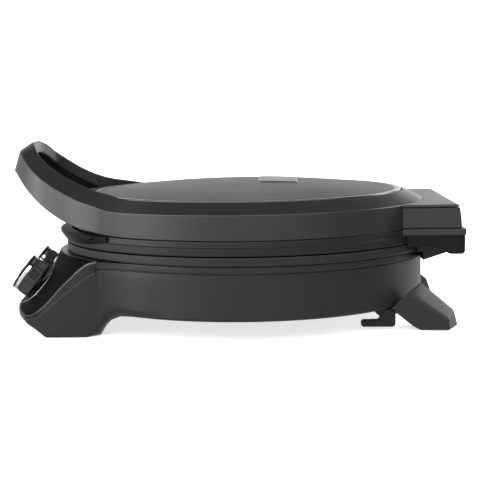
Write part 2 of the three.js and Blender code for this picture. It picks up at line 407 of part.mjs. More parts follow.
// ---- heating parts in the lid ----
add('lid_insulation', lathe([[0, 115.4], [100, 113.2], [134, 110.4], [134, 118.0], [112, 120.6], [80, 123.6], [0, 126.2]], 24), MAT.wool);
let hood = S(lathe([[0, 112.8], [98, 110.8], [134, 107.2], [146.6, 98.0], [150.6, 84.6], [158.6, 82.4], [158.6, 81.2], [149.6, 83.4], [145.5, 97.2], [133.4, 106.0], [98, 109.6], [0, 111.6]]));
for (const sx of [-1, 1]) hood = hood.subtract(S((() => { const g = rod(6, 30, 16); g.translate(sx * 18, 102.4, 108); return g; })()));
add('upper_reflector', hood, MAT.steel);
let ue = tube(elementPath(104, 97, 111.7, -1), LE.t, 46, 6);
add('upper_heating_element', ue, MAT.element);
[-90, 20, 160].forEach((a, i) => add(`upper_element_clip_${i + 1}`, clip(104, 97, a * Math.PI / 180, 107.5), MAT.steel));

export default pizzaMaker;
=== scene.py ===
"""Electric pizza maker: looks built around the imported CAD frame.
All shapes below are given in millimetres in the axis frame (origin on the round body's axis),
and turned into row-frame metres by M()."""
import bpy
import bmesh
import json
import math
import numpy as np
from mathutils import Matrix, Vector

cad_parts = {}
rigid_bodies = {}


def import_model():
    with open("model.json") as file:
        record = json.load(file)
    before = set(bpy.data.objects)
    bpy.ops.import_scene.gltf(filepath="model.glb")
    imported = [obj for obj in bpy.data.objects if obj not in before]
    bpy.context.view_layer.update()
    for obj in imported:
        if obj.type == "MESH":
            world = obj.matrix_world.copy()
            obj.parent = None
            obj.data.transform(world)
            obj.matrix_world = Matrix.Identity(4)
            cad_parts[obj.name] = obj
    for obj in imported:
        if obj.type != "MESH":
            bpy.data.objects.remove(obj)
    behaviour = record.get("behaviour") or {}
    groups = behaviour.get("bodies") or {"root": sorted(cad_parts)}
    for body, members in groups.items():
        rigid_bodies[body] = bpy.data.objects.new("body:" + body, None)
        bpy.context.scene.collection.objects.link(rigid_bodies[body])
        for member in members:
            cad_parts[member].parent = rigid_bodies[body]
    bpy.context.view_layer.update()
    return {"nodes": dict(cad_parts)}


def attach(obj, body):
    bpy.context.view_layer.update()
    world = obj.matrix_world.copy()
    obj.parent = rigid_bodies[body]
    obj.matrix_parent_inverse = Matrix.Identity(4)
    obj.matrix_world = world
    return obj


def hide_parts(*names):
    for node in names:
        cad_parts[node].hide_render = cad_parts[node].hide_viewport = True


for o in list(bpy.data.objects):
    bpy.data.objects.remove(o)
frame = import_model()
scene = bpy.context.scene
Y0 = 11.6


# ------------------------------------------------------------------ helpers: numbers
def M(points):
    p = np.asarray(points, float).reshape(-1, 3)
    return (p + [0, Y0, 0]) / 1000.0


def lin(v):
    """sRGB grey 0..255 to linear."""
    v = v / 255.0
    return v / 12.92 if v <= 0.04045 else ((v + 0.055) / 1.055) ** 2.4


def pchip(table):
    """smooth monotone curve through [x, y] pairs."""
    xs, ys = np.array(table, float).T
    if xs[0] > xs[-1]:
        xs, ys = xs[::-1], ys[::-1]
    h, d = np.diff(xs), np.diff(ys) / np.diff(xs)
    m = np.zeros(len(xs))
    m[0], m[-1] = d[0], d[-1]
    for i in range(1, len(xs) - 1):
        if d[i - 1] * d[i] > 0:
            w1, w2 = 2 * h[i] + h[i - 1], h[i] + 2 * h[i - 1]
            m[i] = (w1 + w2) / (w1 / d[i - 1] + w2 / d[i])

    def f(x):
        x = np.clip(np.asarray(x, float), xs[0], xs[-1])
        i = np.clip(np.searchsorted(xs, x) - 1, 0, len(xs) - 2)
        t = (x - xs[i]) / h[i]
        r = ((1 + 2 * t) * (1 - t) ** 2 * ys[i] + t * (1 - t) ** 2 * h[i] * m[i]
             + t * t * (3 - 2 * t) * ys[i + 1] + t * t * (t - 1) * h[i] * m[i + 1])
        return float(r) if np.ndim(r) == 0 else r
    return f


def sstep(a, b, x):
    t = np.clip((x - a) / (b - a), 0, 1)
    return t * t * (3 - 2 * t)


def fillet(pts, rad, n=4, closed=True):
    """polygon or polyline with its corners rounded; rad is one radius or one per point."""
    pts = [np.array(p, float) for p in pts]
    count, out = len(pts), []
    for i, p in enumerate(pts):
        r = rad if np.isscalar(rad) else rad[i]
        if (not closed and i in (0, count - 1)) or r <= 0:
            out.append(p)
            continue
        a, b = pts[i - 1] - p, pts[(i + 1) % count] - p
        la, lb = np.linalg.norm(a), np.linalg.norm(b)
        a, b = a / la, b / lb
        ang = math.acos(max(-1.0, min(1.0, float(a @ b))))
        if ang > math.pi - 0.03 or ang < 0.02:
            out.append(p)
            continue
        t = min(r / math.tan(ang / 2), 0.47 * la, 0.47 * lb)
        rr = t * math.tan(ang / 2)
        c = p + (a + b) / np.linalg.norm(a + b) * (rr / math.sin(ang / 2))
        v0, v1, sweep = p + a * t - c, p + b * t - c, math.pi - ang
        for k in range(n + 1):
            f = k / n
            out.append(c + (math.sin((1 - f) * sweep) * v0 + math.sin(f * sweep) * v1) / math.sin(sweep))
    return [tuple(q) for q in out]


def inset(poly, s):
    """closed polygon moved inwards by s with mitred corners."""
    p = np.array(poly, float)
    area = 0.5 * np.sum(p[:, 0] * np.roll(p[:, 1], -1) - np.roll(p[:, 0], -1) * p[:, 1])
    e = np.roll(p, -1, 0) - p
    e = e / np.maximum(np.linalg.norm(e, axis=1), 1e-9)[:, None]
    nrm = np.stack([-e[:, 1], e[:, 0]], 1) * (1 if area > 0 else -1)
    n0, n1 = np.roll(nrm, 1, 0), nrm
    k = 1 + np.sum(n0 * n1, 1)
    return p + (n0 + n1) / np.maximum(k, 0.35)[:, None] * s


# ------------------------------------------------------------------ helpers: meshes
def obj_from(name, verts, faces, metres=False):
    me = bpy.data.meshes.new(name)
    v = np.asarray(verts, float).reshape(-1, 3)
    me.from_pydata((v if metres else M(v)).tolist(), [], faces)
    bm = bmesh.new()
    bm.from_mesh(me)
    bmesh.ops.remove_doubles(bm, verts=bm.verts, dist=1e-6)
    bmesh.ops.recalc_face_normals(bm, faces=bm.faces)
    if bm.calc_volume(signed=True) < 0:
        bmesh.ops.reverse_faces(bm, faces=bm.faces)
    bm.to_mesh(me)
    bm.free()
    ob = bpy.data.objects.new(name, me)
    scene.collection.objects.link(ob)
    return ob


def rings(name, data, closed=False):
    """rings of points skinned into a closed body; the ends are capped unless it closes on itself."""
    data = [np.asarray(r, float) for r in data]
    m, n = len(data), len(data[0])
    verts = np.concatenate(data)
    faces = []
    for i in range(m if closed else m - 1):
        for j in range(n):
            a, b = i * n + j, i * n + (j + 1) % n
            c, d = ((i + 1) % m) * n + j, ((i + 1) % m) * n + (j + 1) % n
            faces.append((a, b, d, c))
    if not closed:
        faces.append(tuple(range(n))[::-1])
        faces.append(tuple((m - 1) * n + j for j in range(n)))
    return obj_from(name, verts, faces)


def revolve(name, profile, seg=240, centre=(0, 0), radial=None):
    """closed [r, z] profile turned round a vertical axis. radial(angle, point index) lowers the radius."""
    prof = [(float(r), float(z)) for r, z in profile]
    n = len(prof)
    verts, idx = [], []
    for j, (r, z) in enumerate(prof):
        if r < 1e-6:
            idx.append([len(verts)] * seg)
            verts.append((centre[0], centre[1], z))
        else:
            row = []
            for i in range(seg):
                a = 2 * math.pi * i / seg
                q = r - (radial(a, j) if radial else 0.0)
                row.append(len(verts))
                verts.append((centre[0] + q * math.sin(a), centre[1] - q * math.cos(a), z))
            idx.append(row)
    faces = []
    for j in range(n):
        p, q = idx[j], idx[(j + 1) % n]
        if p[0] == p[1] and q[0] == q[1]:
            continue
        for i in range(seg):
            k = (i + 1) % seg
            f = [p[i], p[k], q[k], q[i]]
            f = [v for t, v in enumerate(f) if v != f[t - 1]]
            if len(f) > 2:
                faces.append(tuple(f))
    return obj_from(name, verts, faces)


def soft_prism(name, poly, lo, hi, r, axis="x", n=4, centre=None):
    """polygon drawn out along an axis, its two end rims rounded with radius r.
    axis x takes [y, z] points, axis z takes [x, y] points."""
    poly = np.array(poly, float)
    rows = []
    steps = [(1 - math.cos(t * math.pi / 2 / n), 1 - math.sin(t * math.pi / 2 / n)) for t in range(n, -1, -1)] if r > 0 else [(0, 0)]
    for c, s in steps:
        rows.append((lo + r * s, inset(poly, r * c) if r > 0 else poly))
    for c, s in reversed(steps):
        rows.append((hi - r * s, inset(poly, r * c) if r > 0 else poly))
    if axis == "x":
        data = [np.column_stack([np.full(len(p), t), p]) for t, p in rows]
    elif axis == "z":
        data = [np.column_stack([p, np.full(len(p), t)]) for t, p in rows]
    else:
        data = [np.column_stack([p[:, 0], np.full(len(p), t), p[:, 1]]) for t, p in rows]
    return rings(name, data)


def box(name, x0, x1, y0, y1, z0, z1, r=0.0):
    return soft_prism(name, fillet([(y0, z0), (y1, z0), (y1, z1), (y0, z1)], r, 3) if r else [(y0, z0), (y1, z0), (y1, z1), (y0, z1)], x0, x1, r)


def disc(name, r, z0, z1, seg=240):
    return revolve(name, [(0, z0), (r, z0), (r, z1), (0, z1)], seg)


def cut(a, b, op="DIFFERENCE"):
    """a changed by b, which goes."""
    md = a.modifiers.new("cut", "BOOLEAN")
    md.operation, md.object, md.solver = op, b, "MANIFOLD"
    dg = bpy.context.evaluated_depsgraph_get()
    me = bpy.data.meshes.new_from_object(a.evaluated_get(dg))
    a.modifiers.clear()
    old = a.data
    a.data = me
    bpy.data.meshes.remove(old)
    bpy.data.objects.remove(b)
    if len(me.vertices) == 0:
        raise RuntimeError(f"boolean on {a.name} left nothing")
    return a


def join(a, b):
    return cut(a, b, "UNION")


def mirror_x(name, ob):
    me = ob.data.copy()
    co = np.zeros(len(me.vertices) * 3, np.float32)
    me.vertices.foreach_get("co", co)
    co = co.reshape(-1, 3)
    co[:, 0] *= -1
    me.vertices.foreach_set("co", co.ravel())
    me.flip_normals()
    new = bpy.data.objects.new(name, me)
    scene.collection.objects.link(new)
    return new


def tube(name, pts, r, sides=20, closed=False):
    """round tube along points with parallel-carried frames and flat ends."""
    p = np.array(pts, float)
    tan = np.gradient(p, axis=0)
    tan /= np.linalg.norm(tan, axis=1)[:, None]
    ref = np.array([0, 0, 1.0]) if abs(tan[0][2]) < 0.9 else np.array([1.0, 0, 0])
    u = np.cross(tan[0], ref)
    u /= np.linalg.norm(u)
    data = []
    for i, q in enumerate(p):
        u = u - (u @ tan[i]) * tan[i]
        u /= np.linalg.norm(u)
        v = np.cross(tan[i], u)
        rr = r[i] if not np.isscalar(r) else r
        data.append([q + rr * (math.cos(t) * u + math.sin(t) * v) for t in np.linspace(0, 2 * math.pi, sides, endpoint=False)])
    return rings(name, data)


def catmull(pts, per):
    """smooth curve through rows of numbers, per steps for each interval."""
    p = np.array(pts, float)
    ext = np.vstack([2 * p[0] - p[1], p, 2 * p[-1] - p[-2]])
    out = []
    for i in range(1, len(ext) - 2):
        p0, p1, p2, p3 = ext[i - 1:i + 3]
        t0 = 0.0
        d = [max(np.linalg.norm(b[:3] - a[:3]), 1e-6) ** 0.5 for a, b in ((p0, p1), (p1, p2), (p2, p3))]
        t1, t2, t3 = t0 + d[0], t0 + d[0] + d[1], t0 + sum(d)
        for k in range(per):
            t = t1 + (t2 - t1) * k / per
            a1 = (t1 - t) / (t1 - t0) * p0 + (t - t0) / (t1 - t0) * p1
            a2 = (t2 - t) / (t2 - t1) * p1 + (t - t1) / (t2 - t1) * p2
            a3 = (t3 - t) / (t3 - t2) * p2 + (t - t2) / (t3 - t2) * p3
            b1 = (t2 - t) / (t2 - t0) * a1 + (t - t0) / (t2 - t0) * a2
            b2 = (t3 - t) / (t3 - t1) * a2 + (t - t1) / (t3 - t1) * a3
            out.append((t2 - t) / (t2 - t1) * b1 + (t - t1) / (t2 - t1) * b2)
    out.append(p[-1])
    return np.array(out)


PIECES = []


def done(ob, mat, body, nodes=(), sharp=30, weighted=True):
    me = ob.data
    me.materials.clear()
    me.materials.append(mat)
    me.polygons.foreach_set("use_smooth", [True] * len(me.polygons))
    me.set_sharp_from_angle(angle=math.radians(sharp))
    if weighted:
        w = ob.modifiers.new("weighted", "WEIGHTED_NORMAL")
        w.keep_sharp, w.weight = True, 60
    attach(ob, body)
    if nodes:
        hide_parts(*nodes)
    PIECES.append(ob)
    return ob


# ------------------------------------------------------------------ camera, at the photograph's angle
cam_data = bpy.data.cameras.new("camera")
cam = bpy.data.objects.new("camera", cam_data)
scene.collection.objects.link(cam)
scene.camera = cam
cam_data.sensor_fit, cam_data.sensor_width, cam_data.lens = "AUTO", 36.0, 94.59
cam_data.clip_start, cam_data.clip_end = 0.05, 60.0
_a, _e, _rho = math.radians(1.14), math.radians(6.65), math.radians(-0.83)
_fwd = Vector((-math.cos(_a) * math.cos(_e), -math.sin(_a) * math.cos(_e), -math.sin(_e)))
_r = Vector((-math.sin(_a), math.cos(_a), 0))
_u = _r.cross(_fwd)
_r2 = math.cos(_rho) * _r + math.sin(_rho) * _u
_u2 = -math.sin(_rho) * _r + math.cos(_rho) * _u
cam.matrix_world = Matrix(((_r2.x, _u2.x, -_fwd.x, 1.2470), (_r2.y, _u2.y, -_fwd.y, 0.0302), (_r2.z, _u2.z, -_fwd.z, 0.2173), (0, 0, 0, 1)))

# ------------------------------------------------------------------ materials
WHITE = (1, 1, 1, 1)


class Nodes:
    """small helper round a material's node tree."""

    def __init__(self, name):
        self.mat = bpy.data.materials.new(name)
        self.mat.use_nodes = True
        self.t = self.mat.node_tree
        self.t.nodes.clear()
        self.out = self.t.nodes.new("ShaderNodeOutputMaterial")
        self.b = self.t.nodes.new("ShaderNodeBsdfPrincipled")
        self.t.links.new(self.b.outputs[0], self.out.inputs["Surface"])
        self.co = self.t.nodes.new("ShaderNodeTexCoord").outputs["Object"]

    def new(self, kind, **props):
        n = self.t.nodes.new(kind)
        for k, v in props.items():
            setattr(n, k, v)
        return n

    def link(self, a, b):
        self.t.links.new(a, b)

    def scaled(self, s, rot=(0, 0, 0)):
        n = self.new("ShaderNodeMapping")
        n.inputs["Scale"].default_value = s if not np.isscalar(s) else (s, s, s)
        n.inputs["Rotation"].default_value = rot
        self.link(self.co, n.inputs["Vector"])
        return n.outputs[0]

    def noise(self, scale, detail=3, rough=0.55, vec=None, dims="3D"):
        n = self.new("ShaderNodeTexNoise", noise_dimensions=dims)
        n.inputs["Scale"].default_value = scale
        n.inputs["Detail"].default_value = detail
        n.inputs["Roughness"].default_value = rough
        self.link(vec if vec is not None else self.co, n.inputs["Vector"])
        return n.outputs["Fac"]

    def voronoi(self, scale, vec=None, feature="F1", out="Distance"):
        n = self.new("ShaderNodeTexVoronoi", feature=feature)
        n.inputs["Scale"].default_value = scale
        self.link(vec if vec is not None else self.co, n.inputs["Vector"])
        return n.outputs[out]

    def ramp(self, fac, stops, interpolation="LINEAR"):
        n = self.new("ShaderNodeValToRGB")
        cr = n.color_ramp
        cr.interpolation = interpolation
        while len(cr.elements) < len(stops):
            cr.elements.new(0.5)
        for e, (p, c) in zip(cr.elements, stops):
            e.position = p
            e.color = (c, c, c, 1) if np.isscalar(c) else (*c, 1)
        self.link(fac, n.inputs["Fac"])
        return n.outputs["Color"]

    def span(self, fac, a, b, c, d):
        n = self.new("ShaderNodeMapRange")
        for k, v in zip(("From Min", "From Max", "To Min", "To Max"), (a, b, c, d)):
            n.inputs[k].default_value = v
        self.link(fac, n.inputs["Value"])
        return n.outputs["Result"]

    def math(self, op, a, b):
        n = self.new("ShaderNodeMath", operation=op)
        for i, v in enumerate((a, b)):
            if isinstance(v, (int, float)):
                n.inputs[i].default_value = v
            else:
                self.link(v, n.inputs[i])
        return n.outputs[0]

    def mix(self, fac, a, b, blend="MIX"):
        n = self.new("ShaderNodeMix", data_type="RGBA", blend_type=blend)
        for sock, v in ((n.inputs[0], fac), (n.inputs[6], a), (n.inputs[7], b)):
            if isinstance(v, (int, float)):
                sock.default_value = v
            elif isinstance(v, tuple):
                sock.default_value = (*v, 1) if len(v) == 3 else v
            else:
                self.link(v, sock)
        return n.outputs[2]

    def bump(self, height, strength, distance, normal=None):
        n = self.new("ShaderNodeBump")
        n.inputs["Strength"].default_value = strength
        n.inputs["Distance"].default_value = distance
        self.link(height, n.inputs["Height"])
        if normal is not None:
            self.link(normal, n.inputs["Normal"])
        return n.outputs["Normal"]

    def set(self, **kw):
        for k, v in kw.items():
            s = self.b.inputs[k.replace("_", " ")]
            if isinstance(v, (int, float)):
                s.default_value = v
            elif isinstance(v, tuple):
                s.default_value = (*v, 1) if len(v) == 3 else v
            else:
                self.link(v, s)
        return self


def plastic(name, grey, rough, spec=0.5, grain=0.5, vary=0.10, tint=(1.0, 1.0, 1.015), grain_scale=1500):
    """moulded satin plastic: fine spark-eroded grain, faint flow clouds, slight roughness changes, dust in the pores."""
    n = Nodes(name)
    g = lin(grey)
    cloud = n.noise(16, 4, 0.55)
    fine = n.noise(grain_scale, 2, 0.6)
    pores = n.voronoi(grain_scale * 0.55)
    dark = tuple(g * (1 - vary) * t for t in tint)
    light = tuple(g * (1 + vary) * t for t in tint)
    col = n.mix(cloud, dark, light)
    col = n.mix(n.span(pores, 0.0, 0.6, 0.16, 0.0), col, tuple(min(1.0, g * 1.9) * t for t in tint))
    smear = n.noise(7, 3, 0.5, n.scaled((1.0, 1.6, 3.5)))
    n.set(Base_Color=col, Roughness=n.math("ADD", n.span(smear, 0.3, 0.7, rough - 0.035, rough + 0.035), n.span(fine, 0.3, 0.7, -0.02, 0.02)), Specular_IOR_Level=spec)
    h = n.math("ADD", fine, n.math("MULTIPLY", pores, 0.6))
    n.set(Normal=n.bump(h, grain, 0.00006))
    return n.mat


def gloss_plastic(name, grey, spec):
    """polished black plastic with a faint mould waviness and hairline wiping marks."""
    n = Nodes(name)
    g = lin(grey)
    cloud = n.noise(22, 3, 0.5)
    hair = n.noise(260, 3, 0.6, n.scaled((1.0, 9.0, 2.2), (0.35, 0.1, 0.5)))
    n.set(Base_Color=n.mix(cloud, (g * 0.85, g * 0.85, g * 0.87), (g * 1.15, g * 1.15, g * 1.18)),
          Roughness=n.span(hair, 0.35, 0.75, 0.085, 0.15), Specular_IOR_Level=spec)
    n.set(Normal=n.bump(n.noise(34, 2, 0.5), 0.05, 0.0012))
    return n.mat


def metal(name, grey, rough, brushed=None, tint=(1, 1, 1), dirt=0.15, bump=0.25, turned=False):
    """bare metal; brushed gives the stretch of its grain, turned makes it run round the Z axis."""
    n = Nodes(name)
    g = lin(grey)
    vec = n.co
    if turned:
        sep = n.new("ShaderNodeSeparateXYZ")
        shift = n.new("ShaderNodeVectorMath", operation="SUBTRACT")
        shift.inputs[1].default_value = (0, Y0 / 1000, 0)
        n.link(n.co, shift.inputs[0])
        n.link(shift.outputs[0], sep.inputs[0])
        r2 = n.math("SQRT", n.math("ADD", n.math("POWER", sep.outputs[0], 2.0), n.math("POWER", sep.outputs[1], 2.0)), 0.0)
        ang = n.math("ARCTAN2", sep.outputs[1], sep.outputs[0])
        comb = n.new("ShaderNodeCombineXYZ")
        n.link(n.math("MULTIPLY", r2, 1500.0), comb.inputs[0])
        n.link(n.math("MULTIPLY", ang, 2.2), comb.inputs[1])
        n.link(n.math("MULTIPLY", sep.outputs[2], 1500.0), comb.inputs[2])
        lines = n.noise(1.0, 3, 0.65, comb.outputs[0])
    elif brushed:
        lines = n.noise(1.0, 3, 0.65, n.scaled(brushed))
    else:
        lines = n.noise(900, 3, 0.6)
    stain = n.noise(30, 4, 0.6)
    lo = tuple(g * (1 - dirt) * t for t in tint)
    hi = tuple(min(1.0, g * (1 + dirt * 0.5)) * t for t in tint)
    n.set(Base_Color=n.mix(n.math("MULTIPLY", n.math("ADD", lines, stain), 0.5), lo, hi), Metallic=1.0,
          Roughness=n.math("ADD", n.span(lines, 0.25, 0.75, rough * 0.7, rough * 1.3), n.span(stain, 0.3, 0.8, 0.0, 0.06)))
    n.set(Normal=n.bump(lines, bump, 0.00005))
    return n.mat


def stone_material(name):
    """pressed cordierite baking stone: sandy ground, dark and pale specks, open pores."""
    n = Nodes(name)
    ground = n.noise(55, 5, 0.62)
    speck = n.voronoi(520, out="Color")
    speck_f = n.new("ShaderNodeSeparateColor")
    n.link(speck, speck_f.inputs[0])
    spot = n.span(speck_f.outputs[0], 0.80, 0.86, 0.0, 1.0)
    pale = n.span(speck_f.outputs[1], 0.86, 0.92, 0.0, 1.0)
    col = n.mix(ground, (0.46, 0.36, 0.245), (0.64, 0.535, 0.395))
    col = n.mix(n.math("MULTIPLY", spot, 0.55), col, (0.21, 0.15, 0.10))
    col = n.mix(n.math("MULTIPLY", pale, 0.5), col, (0.80, 0.74, 0.63))
    toast = n.span(n.noise(9, 4, 0.6), 0.52, 0.75, 0.0, 0.35)
    col = n.mix(toast, col, (0.30, 0.20, 0.115))
    pores = n.noise(1400, 3, 0.7)
    n.set(Base_Color=col, Roughness=n.span(ground, 0.3, 0.7, 0.82, 0.93), Specular_IOR_Level=0.3)
    n.set(Normal=n.bump(n.math("ADD", pores, n.math("MULTIPLY", ground, 0.8)), 0.55, 0.00025))
    return n.mat


def wool_material(name):
    n = Nodes(name)
    f1 = n.noise(240, 5, 0.7, n.scaled((1, 1, 6)))
    f2 = n.noise(900, 3, 0.7)
    n.set(Base_Color=n.mix(f1, (0.62, 0.58, 0.47), (0.86, 0.83, 0.74)), Roughness=0.95, Specular_IOR_Level=0.1)
    n.set(Normal=n.bump(n.math("ADD", f1, f2), 0.9, 0.0006))
    return n.mat


def rubber_material(name, grey=26):
    n = Nodes(name)
    g = lin(grey)
    dust = n.noise(300, 4, 0.65)
    fine = n.noise(1700, 2, 0.6)
    col = n.mix(n.span(dust, 0.45, 0.8, 0.0, 0.5), (g, g, g * 0.98), (g * 2.6, g * 2.55, g * 2.4))
    n.set(Base_Color=col, Roughness=n.span(dust, 0.3, 0.7, 0.78, 0.9), Specular_IOR_Level=0.3)
    n.set(Normal=n.bump(fine, 0.4, 0.00012))
    return n.mat


def lens_material(name):
    """pilot lamp: frosted clear plastic over a dark housing."""
    n = Nodes(name)
    f = n.noise(600, 3, 0.5)
    n.set(Base_Color=n.mix(f, (0.36, 0.35, 0.33), (0.50, 0.49, 0.46)), Roughness=n.span(f, 0.3, 0.7, 0.12, 0.22), Coat_Weight=0.3, Coat_Roughness=0.1)
    n.set(Normal=n.bump(n.voronoi(900), 0.25, 0.0003))
    return n.mat


def ceramic_material(name):
    n = Nodes(name)
    f = n.noise(200, 4, 0.6)
    n.set(Base_Color=n.mix(f, (0.66, 0.64, 0.58), (0.80, 0.78, 0.72)), Roughness=n.span(f, 0.3, 0.7, 0.45, 0.65))
    n.set(Normal=n.bump(n.noise(1200, 2, 0.6), 0.3, 0.0001))
    return n.mat


def print_material(name, lo_=0.42, hi_=0.54):
    """pad-printed ink: slightly uneven cover."""
    n = Nodes(name)
    f = n.noise(900, 3, 0.6)
    n.set(Base_Color=n.mix(f, (lo_, lo_, lo_), (hi_, hi_, hi_)), Roughness=n.span(f, 0.3, 0.7, 0.42, 0.6))
    n.set(Normal=n.bump(f, 0.2, 0.00004))
    return n.mat


SHELL = plastic("base_plastic", 23, 0.42, 0.30, 0.35)
BAND = plastic("lid_plastic", 24, 0.34, 0.50, 0.35)
DOME = plastic("dome_plastic", 25, 0.38, 0.50, 0.35)
GLOSS = plastic("panel_plastic", 10, 0.50, 0.01, 0.3)
# lighter grey, shinier copy of the panel plastic for the panel's upward-facing top faces: the lighter grey is a painted
# highlight
PANEL_TOP_HIGHLIGHT = plastic("panel_top_highlight_plastic", 22, 0.30, 0.50, 0.15)
KNOBM = plastic("knob_plastic", 36, 0.48, 0.40, 0.45, grain_scale=1900)
DARK = plastic("hook_plastic", 20, 0.5, 0.20, 0.4)
RUBBER = rubber_material("foot_rubber")
CHROME = metal("cap_chrome", 232, 0.07, dirt=0.04, bump=0.02)
FACE = metal("cap_face", 150, 0.20, brushed=(2600, 60, 60), dirt=0.08, bump=0.12)
BADGE = metal("badge_metal", 156, 0.34, brushed=(30, 2600, 2600), dirt=0.08, bump=0.15)
REFLECTOR = metal("reflector_aluminised", 188, 0.26, turned=True, dirt=0.14, bump=0.2)
PLATE = metal("galvanised_plate", 158, 0.42, dirt=0.2, bump=0.2)
ELEMENT = metal("element_oxidised", 92, 0.52, tint=(1.0, 0.93, 0.86), dirt=0.35, bump=0.5)
STEEL = metal("bright_steel", 170, 0.3, brushed=(60, 60, 2400), dirt=0.12)
ZINC = metal("zinc_plated", 186, 0.33, dirt=0.12, bump=0.3)
BRASS = metal("brass", 205, 0.28, tint=(1.0, 0.78, 0.38), dirt=0.15)
STONE = stone_material("baking_stone")
WOOL = wool_material("wool_felt")
LENS = lens_material("lamp_lens")
# lighter grey plastic for the console rim's edge faces: a painted highlight
RIM_HIGHLIGHT = plastic("rim_highlight_plastic", 66, 0.26, 0.60, 0.10)
LIP = plastic("lid_edge_plastic", 27, 0.16, 0.60, 0.06)
# darker copy of the lid plastic for the lid rim moulding: painted shade under the handle band
RIM_SHADED = plastic("rim_shaded_plastic", 18, 0.42, 0.28, 0.35)
# darkest plastic, used as painted shade in the hinge cover's groove and on the front lip's top under the band; it also
# darkens the knuckles' lower rear faces
SHADE_DARK = plastic("shade_dark_plastic", 13, 0.44, 0.12, 0.35)
TRIM = gloss_plastic("knob_trim", 18, 0.25)
SHAFT = metal("blackened_steel", 52, 0.45, dirt=0.2)
SURROUND = metal("ring_satin", 138, 0.36, dirt=0.1)
CERAMIC = ceramic_material("terminal_ceramic")
INK = print_material("white_print", 0.30, 0.40)
INK_DIM = print_material("grey_print", 0.17, 0.22)

# ================================================================== BASE
# ---- console: a scooped surface between a bowed front edge and a circular crest
X_RIM = 121.0
rim_y = pchip([[19.0, 198.5], [20.5, 193], [25, 186], [33.7, 177], [44, 167.6], [53.2, 158], [61.3, 149], [66.3, 141], [68.4, 135.5]])
mid_y = pchip([[19.0, 220.3], [21, 217.6], [23.3, 213.9], [26, 211.0], [29, 207.8], [32, 204.8], [35.8, 201.4], [40, 197.5], [44, 194.4], [50, 190.9], [56, 188], [62, 185.6], [68.4, 183]])
rim_z = pchip([[-205, 18.9], [-198.5, 19.0], [-193, 20.5], [-186, 25], [-177, 33.7], [-167.6, 44], [-158, 53.2], [-149, 61.3], [-141, 66.3], [-133, 68.2]])
low_z = pchip([[-199.5, 18.2], [-196.4, 17.5], [-193, 17.1], [-190, 17.8], [-186.2, 20.0], [-176.9, 27.1], [-167.5, 35.3], [-158, 42.8], [-149, 49.7], [-139.7, 56], [-133, 59.5]])


def bow(x):
    u = min(abs(x) / X_RIM, 1.0)
    return u * u * (1 + 0.17 * u * u) / 1.17


def cover_y(x, z):
    return -mid_y(z) + (mid_y(z) - rim_y(z)) * bow(x)


def cover_z(x, y):
    """height of the panel at a plan point, by bisection."""
    lo, hi = 19.0, 68.4
    for _ in range(24):
        m = (lo + hi) / 2
        if cover_y(x, m) < y:
            lo = m
        else:
            hi = m
    return lo


R_LEDGE = 174.3
XC = 120.3
zs = np.concatenate([np.linspace(19.0, 30, 10), np.linspace(32, 66.4, 20), [67.3]])
sections = []
for x in np.linspace(-XC, XC, 85):
    rear = -math.sqrt(R_LEDGE ** 2 - x * x)
    crest = cover_y(x, 68.4)
    outer = [(cover_y(x, z), z) for z in zs]
    d = min(1.3, (rear - crest) * 0.4)
    outer += [(crest + d * (1 - math.cos(t)) * 0.9, 67.3 + 1.1 * math.sin(t)) for t in (0.5, 0.95, math.pi / 2)] + [(crest + d + 0.4, 68.4), (rear, 68.4)]
    inner = []
    for i, (y, z) in enumerate(outer):
        (ya, za), (yb, zb) = outer[max(i - 1, 0)], outer[min(i + 1, len(outer) - 1)]
        ln = math.hypot(yb - ya, zb - za)
        inner.append((y + 2.5 * (zb - za) / ln, z - 2.5 * (yb - ya) / ln))
    inner[0] = (outer[0][0] + 2.8, outer[0][1])
    keep = [i for i in range(len(inner)) if i == 0 or (inner[i][0] > inner[0][0] + 0.05 and inner[i][1] <= 65.9 and i < len(inner) - 5)]
    inner = [inner[i] if i in keep else None for i in range(len(inner))]
    last = None
    for i in range(len(inner)):
        if inner[i] is None:
            f = (i - max(k for k in keep if k < i)) / (len(inner) - 1 - max(k for k in keep if k < i)) if any(k < i for k in keep) else 0
            base = inner[max(k for k in keep if k < i)] if any(k < i for k in keep) else inner[0]
            if i > max(keep):
                b0 = inner[max(keep)]
                f = (i - max(keep)) / (len(inner) - 1 - max(keep))
                inner[i] = (b0[0] + (rear - b0[0]) * f, b0[1] + (65.9 - b0[1]) * f)
            else:
                inner[i] = base
    poly = outer + inner[::-1]
    sections.append([(x, y, z) for y, z in poly])
cover = rings("console_panel", sections)
KN = Vector((0, -0.7986355, 0.6018150))
KE = Vector((0, 0.6018150, 0.7986355))
KX, KYC, KZC = 38.3, -211.2, 45.3


def knob_matrix(px, py, pz):
    """local X across, local Y up the slope, local Z outwards, placed at an axis-frame point in mm."""
    m = Matrix(((1, 0, 0, px / 1000), (0, KE.y, KN.y, (py + Y0) / 1000), (0, KE.z, KN.z, pz / 1000), (0, 0, 0, 1)))
    return m


def local_rings(name, data, m, closed=False):
    ob = rings(name, data, closed)
    ob.data.transform(Matrix.Translation((0, -Y0 / 1000, 0)))
    ob.data.transform(m)
    return ob


def local_revolve(name, prof, m, seg=120, radial=None):
    ob = revolve(name, prof, seg, radial=radial)
    ob.data.transform(Matrix.Translation((0, -Y0 / 1000, 0)))
    ob.data.transform(m)
    return ob


LAMP = (0, -189.6, 54)
for sx in (-1, 1):
    cut(cover, local_revolve("t", [(0, -60), (4.2, -60), (4.2, 20), (0, 20)], knob_matrix(sx * KX, KYC, KZC), 48))
cut(cover, local_revolve("t", [(0, -20), (4.0, -20), (4.0, 20), (0, 20)], knob_matrix(*LAMP), 48))
done(cover, GLOSS, "base", ["console_cover"], 40)
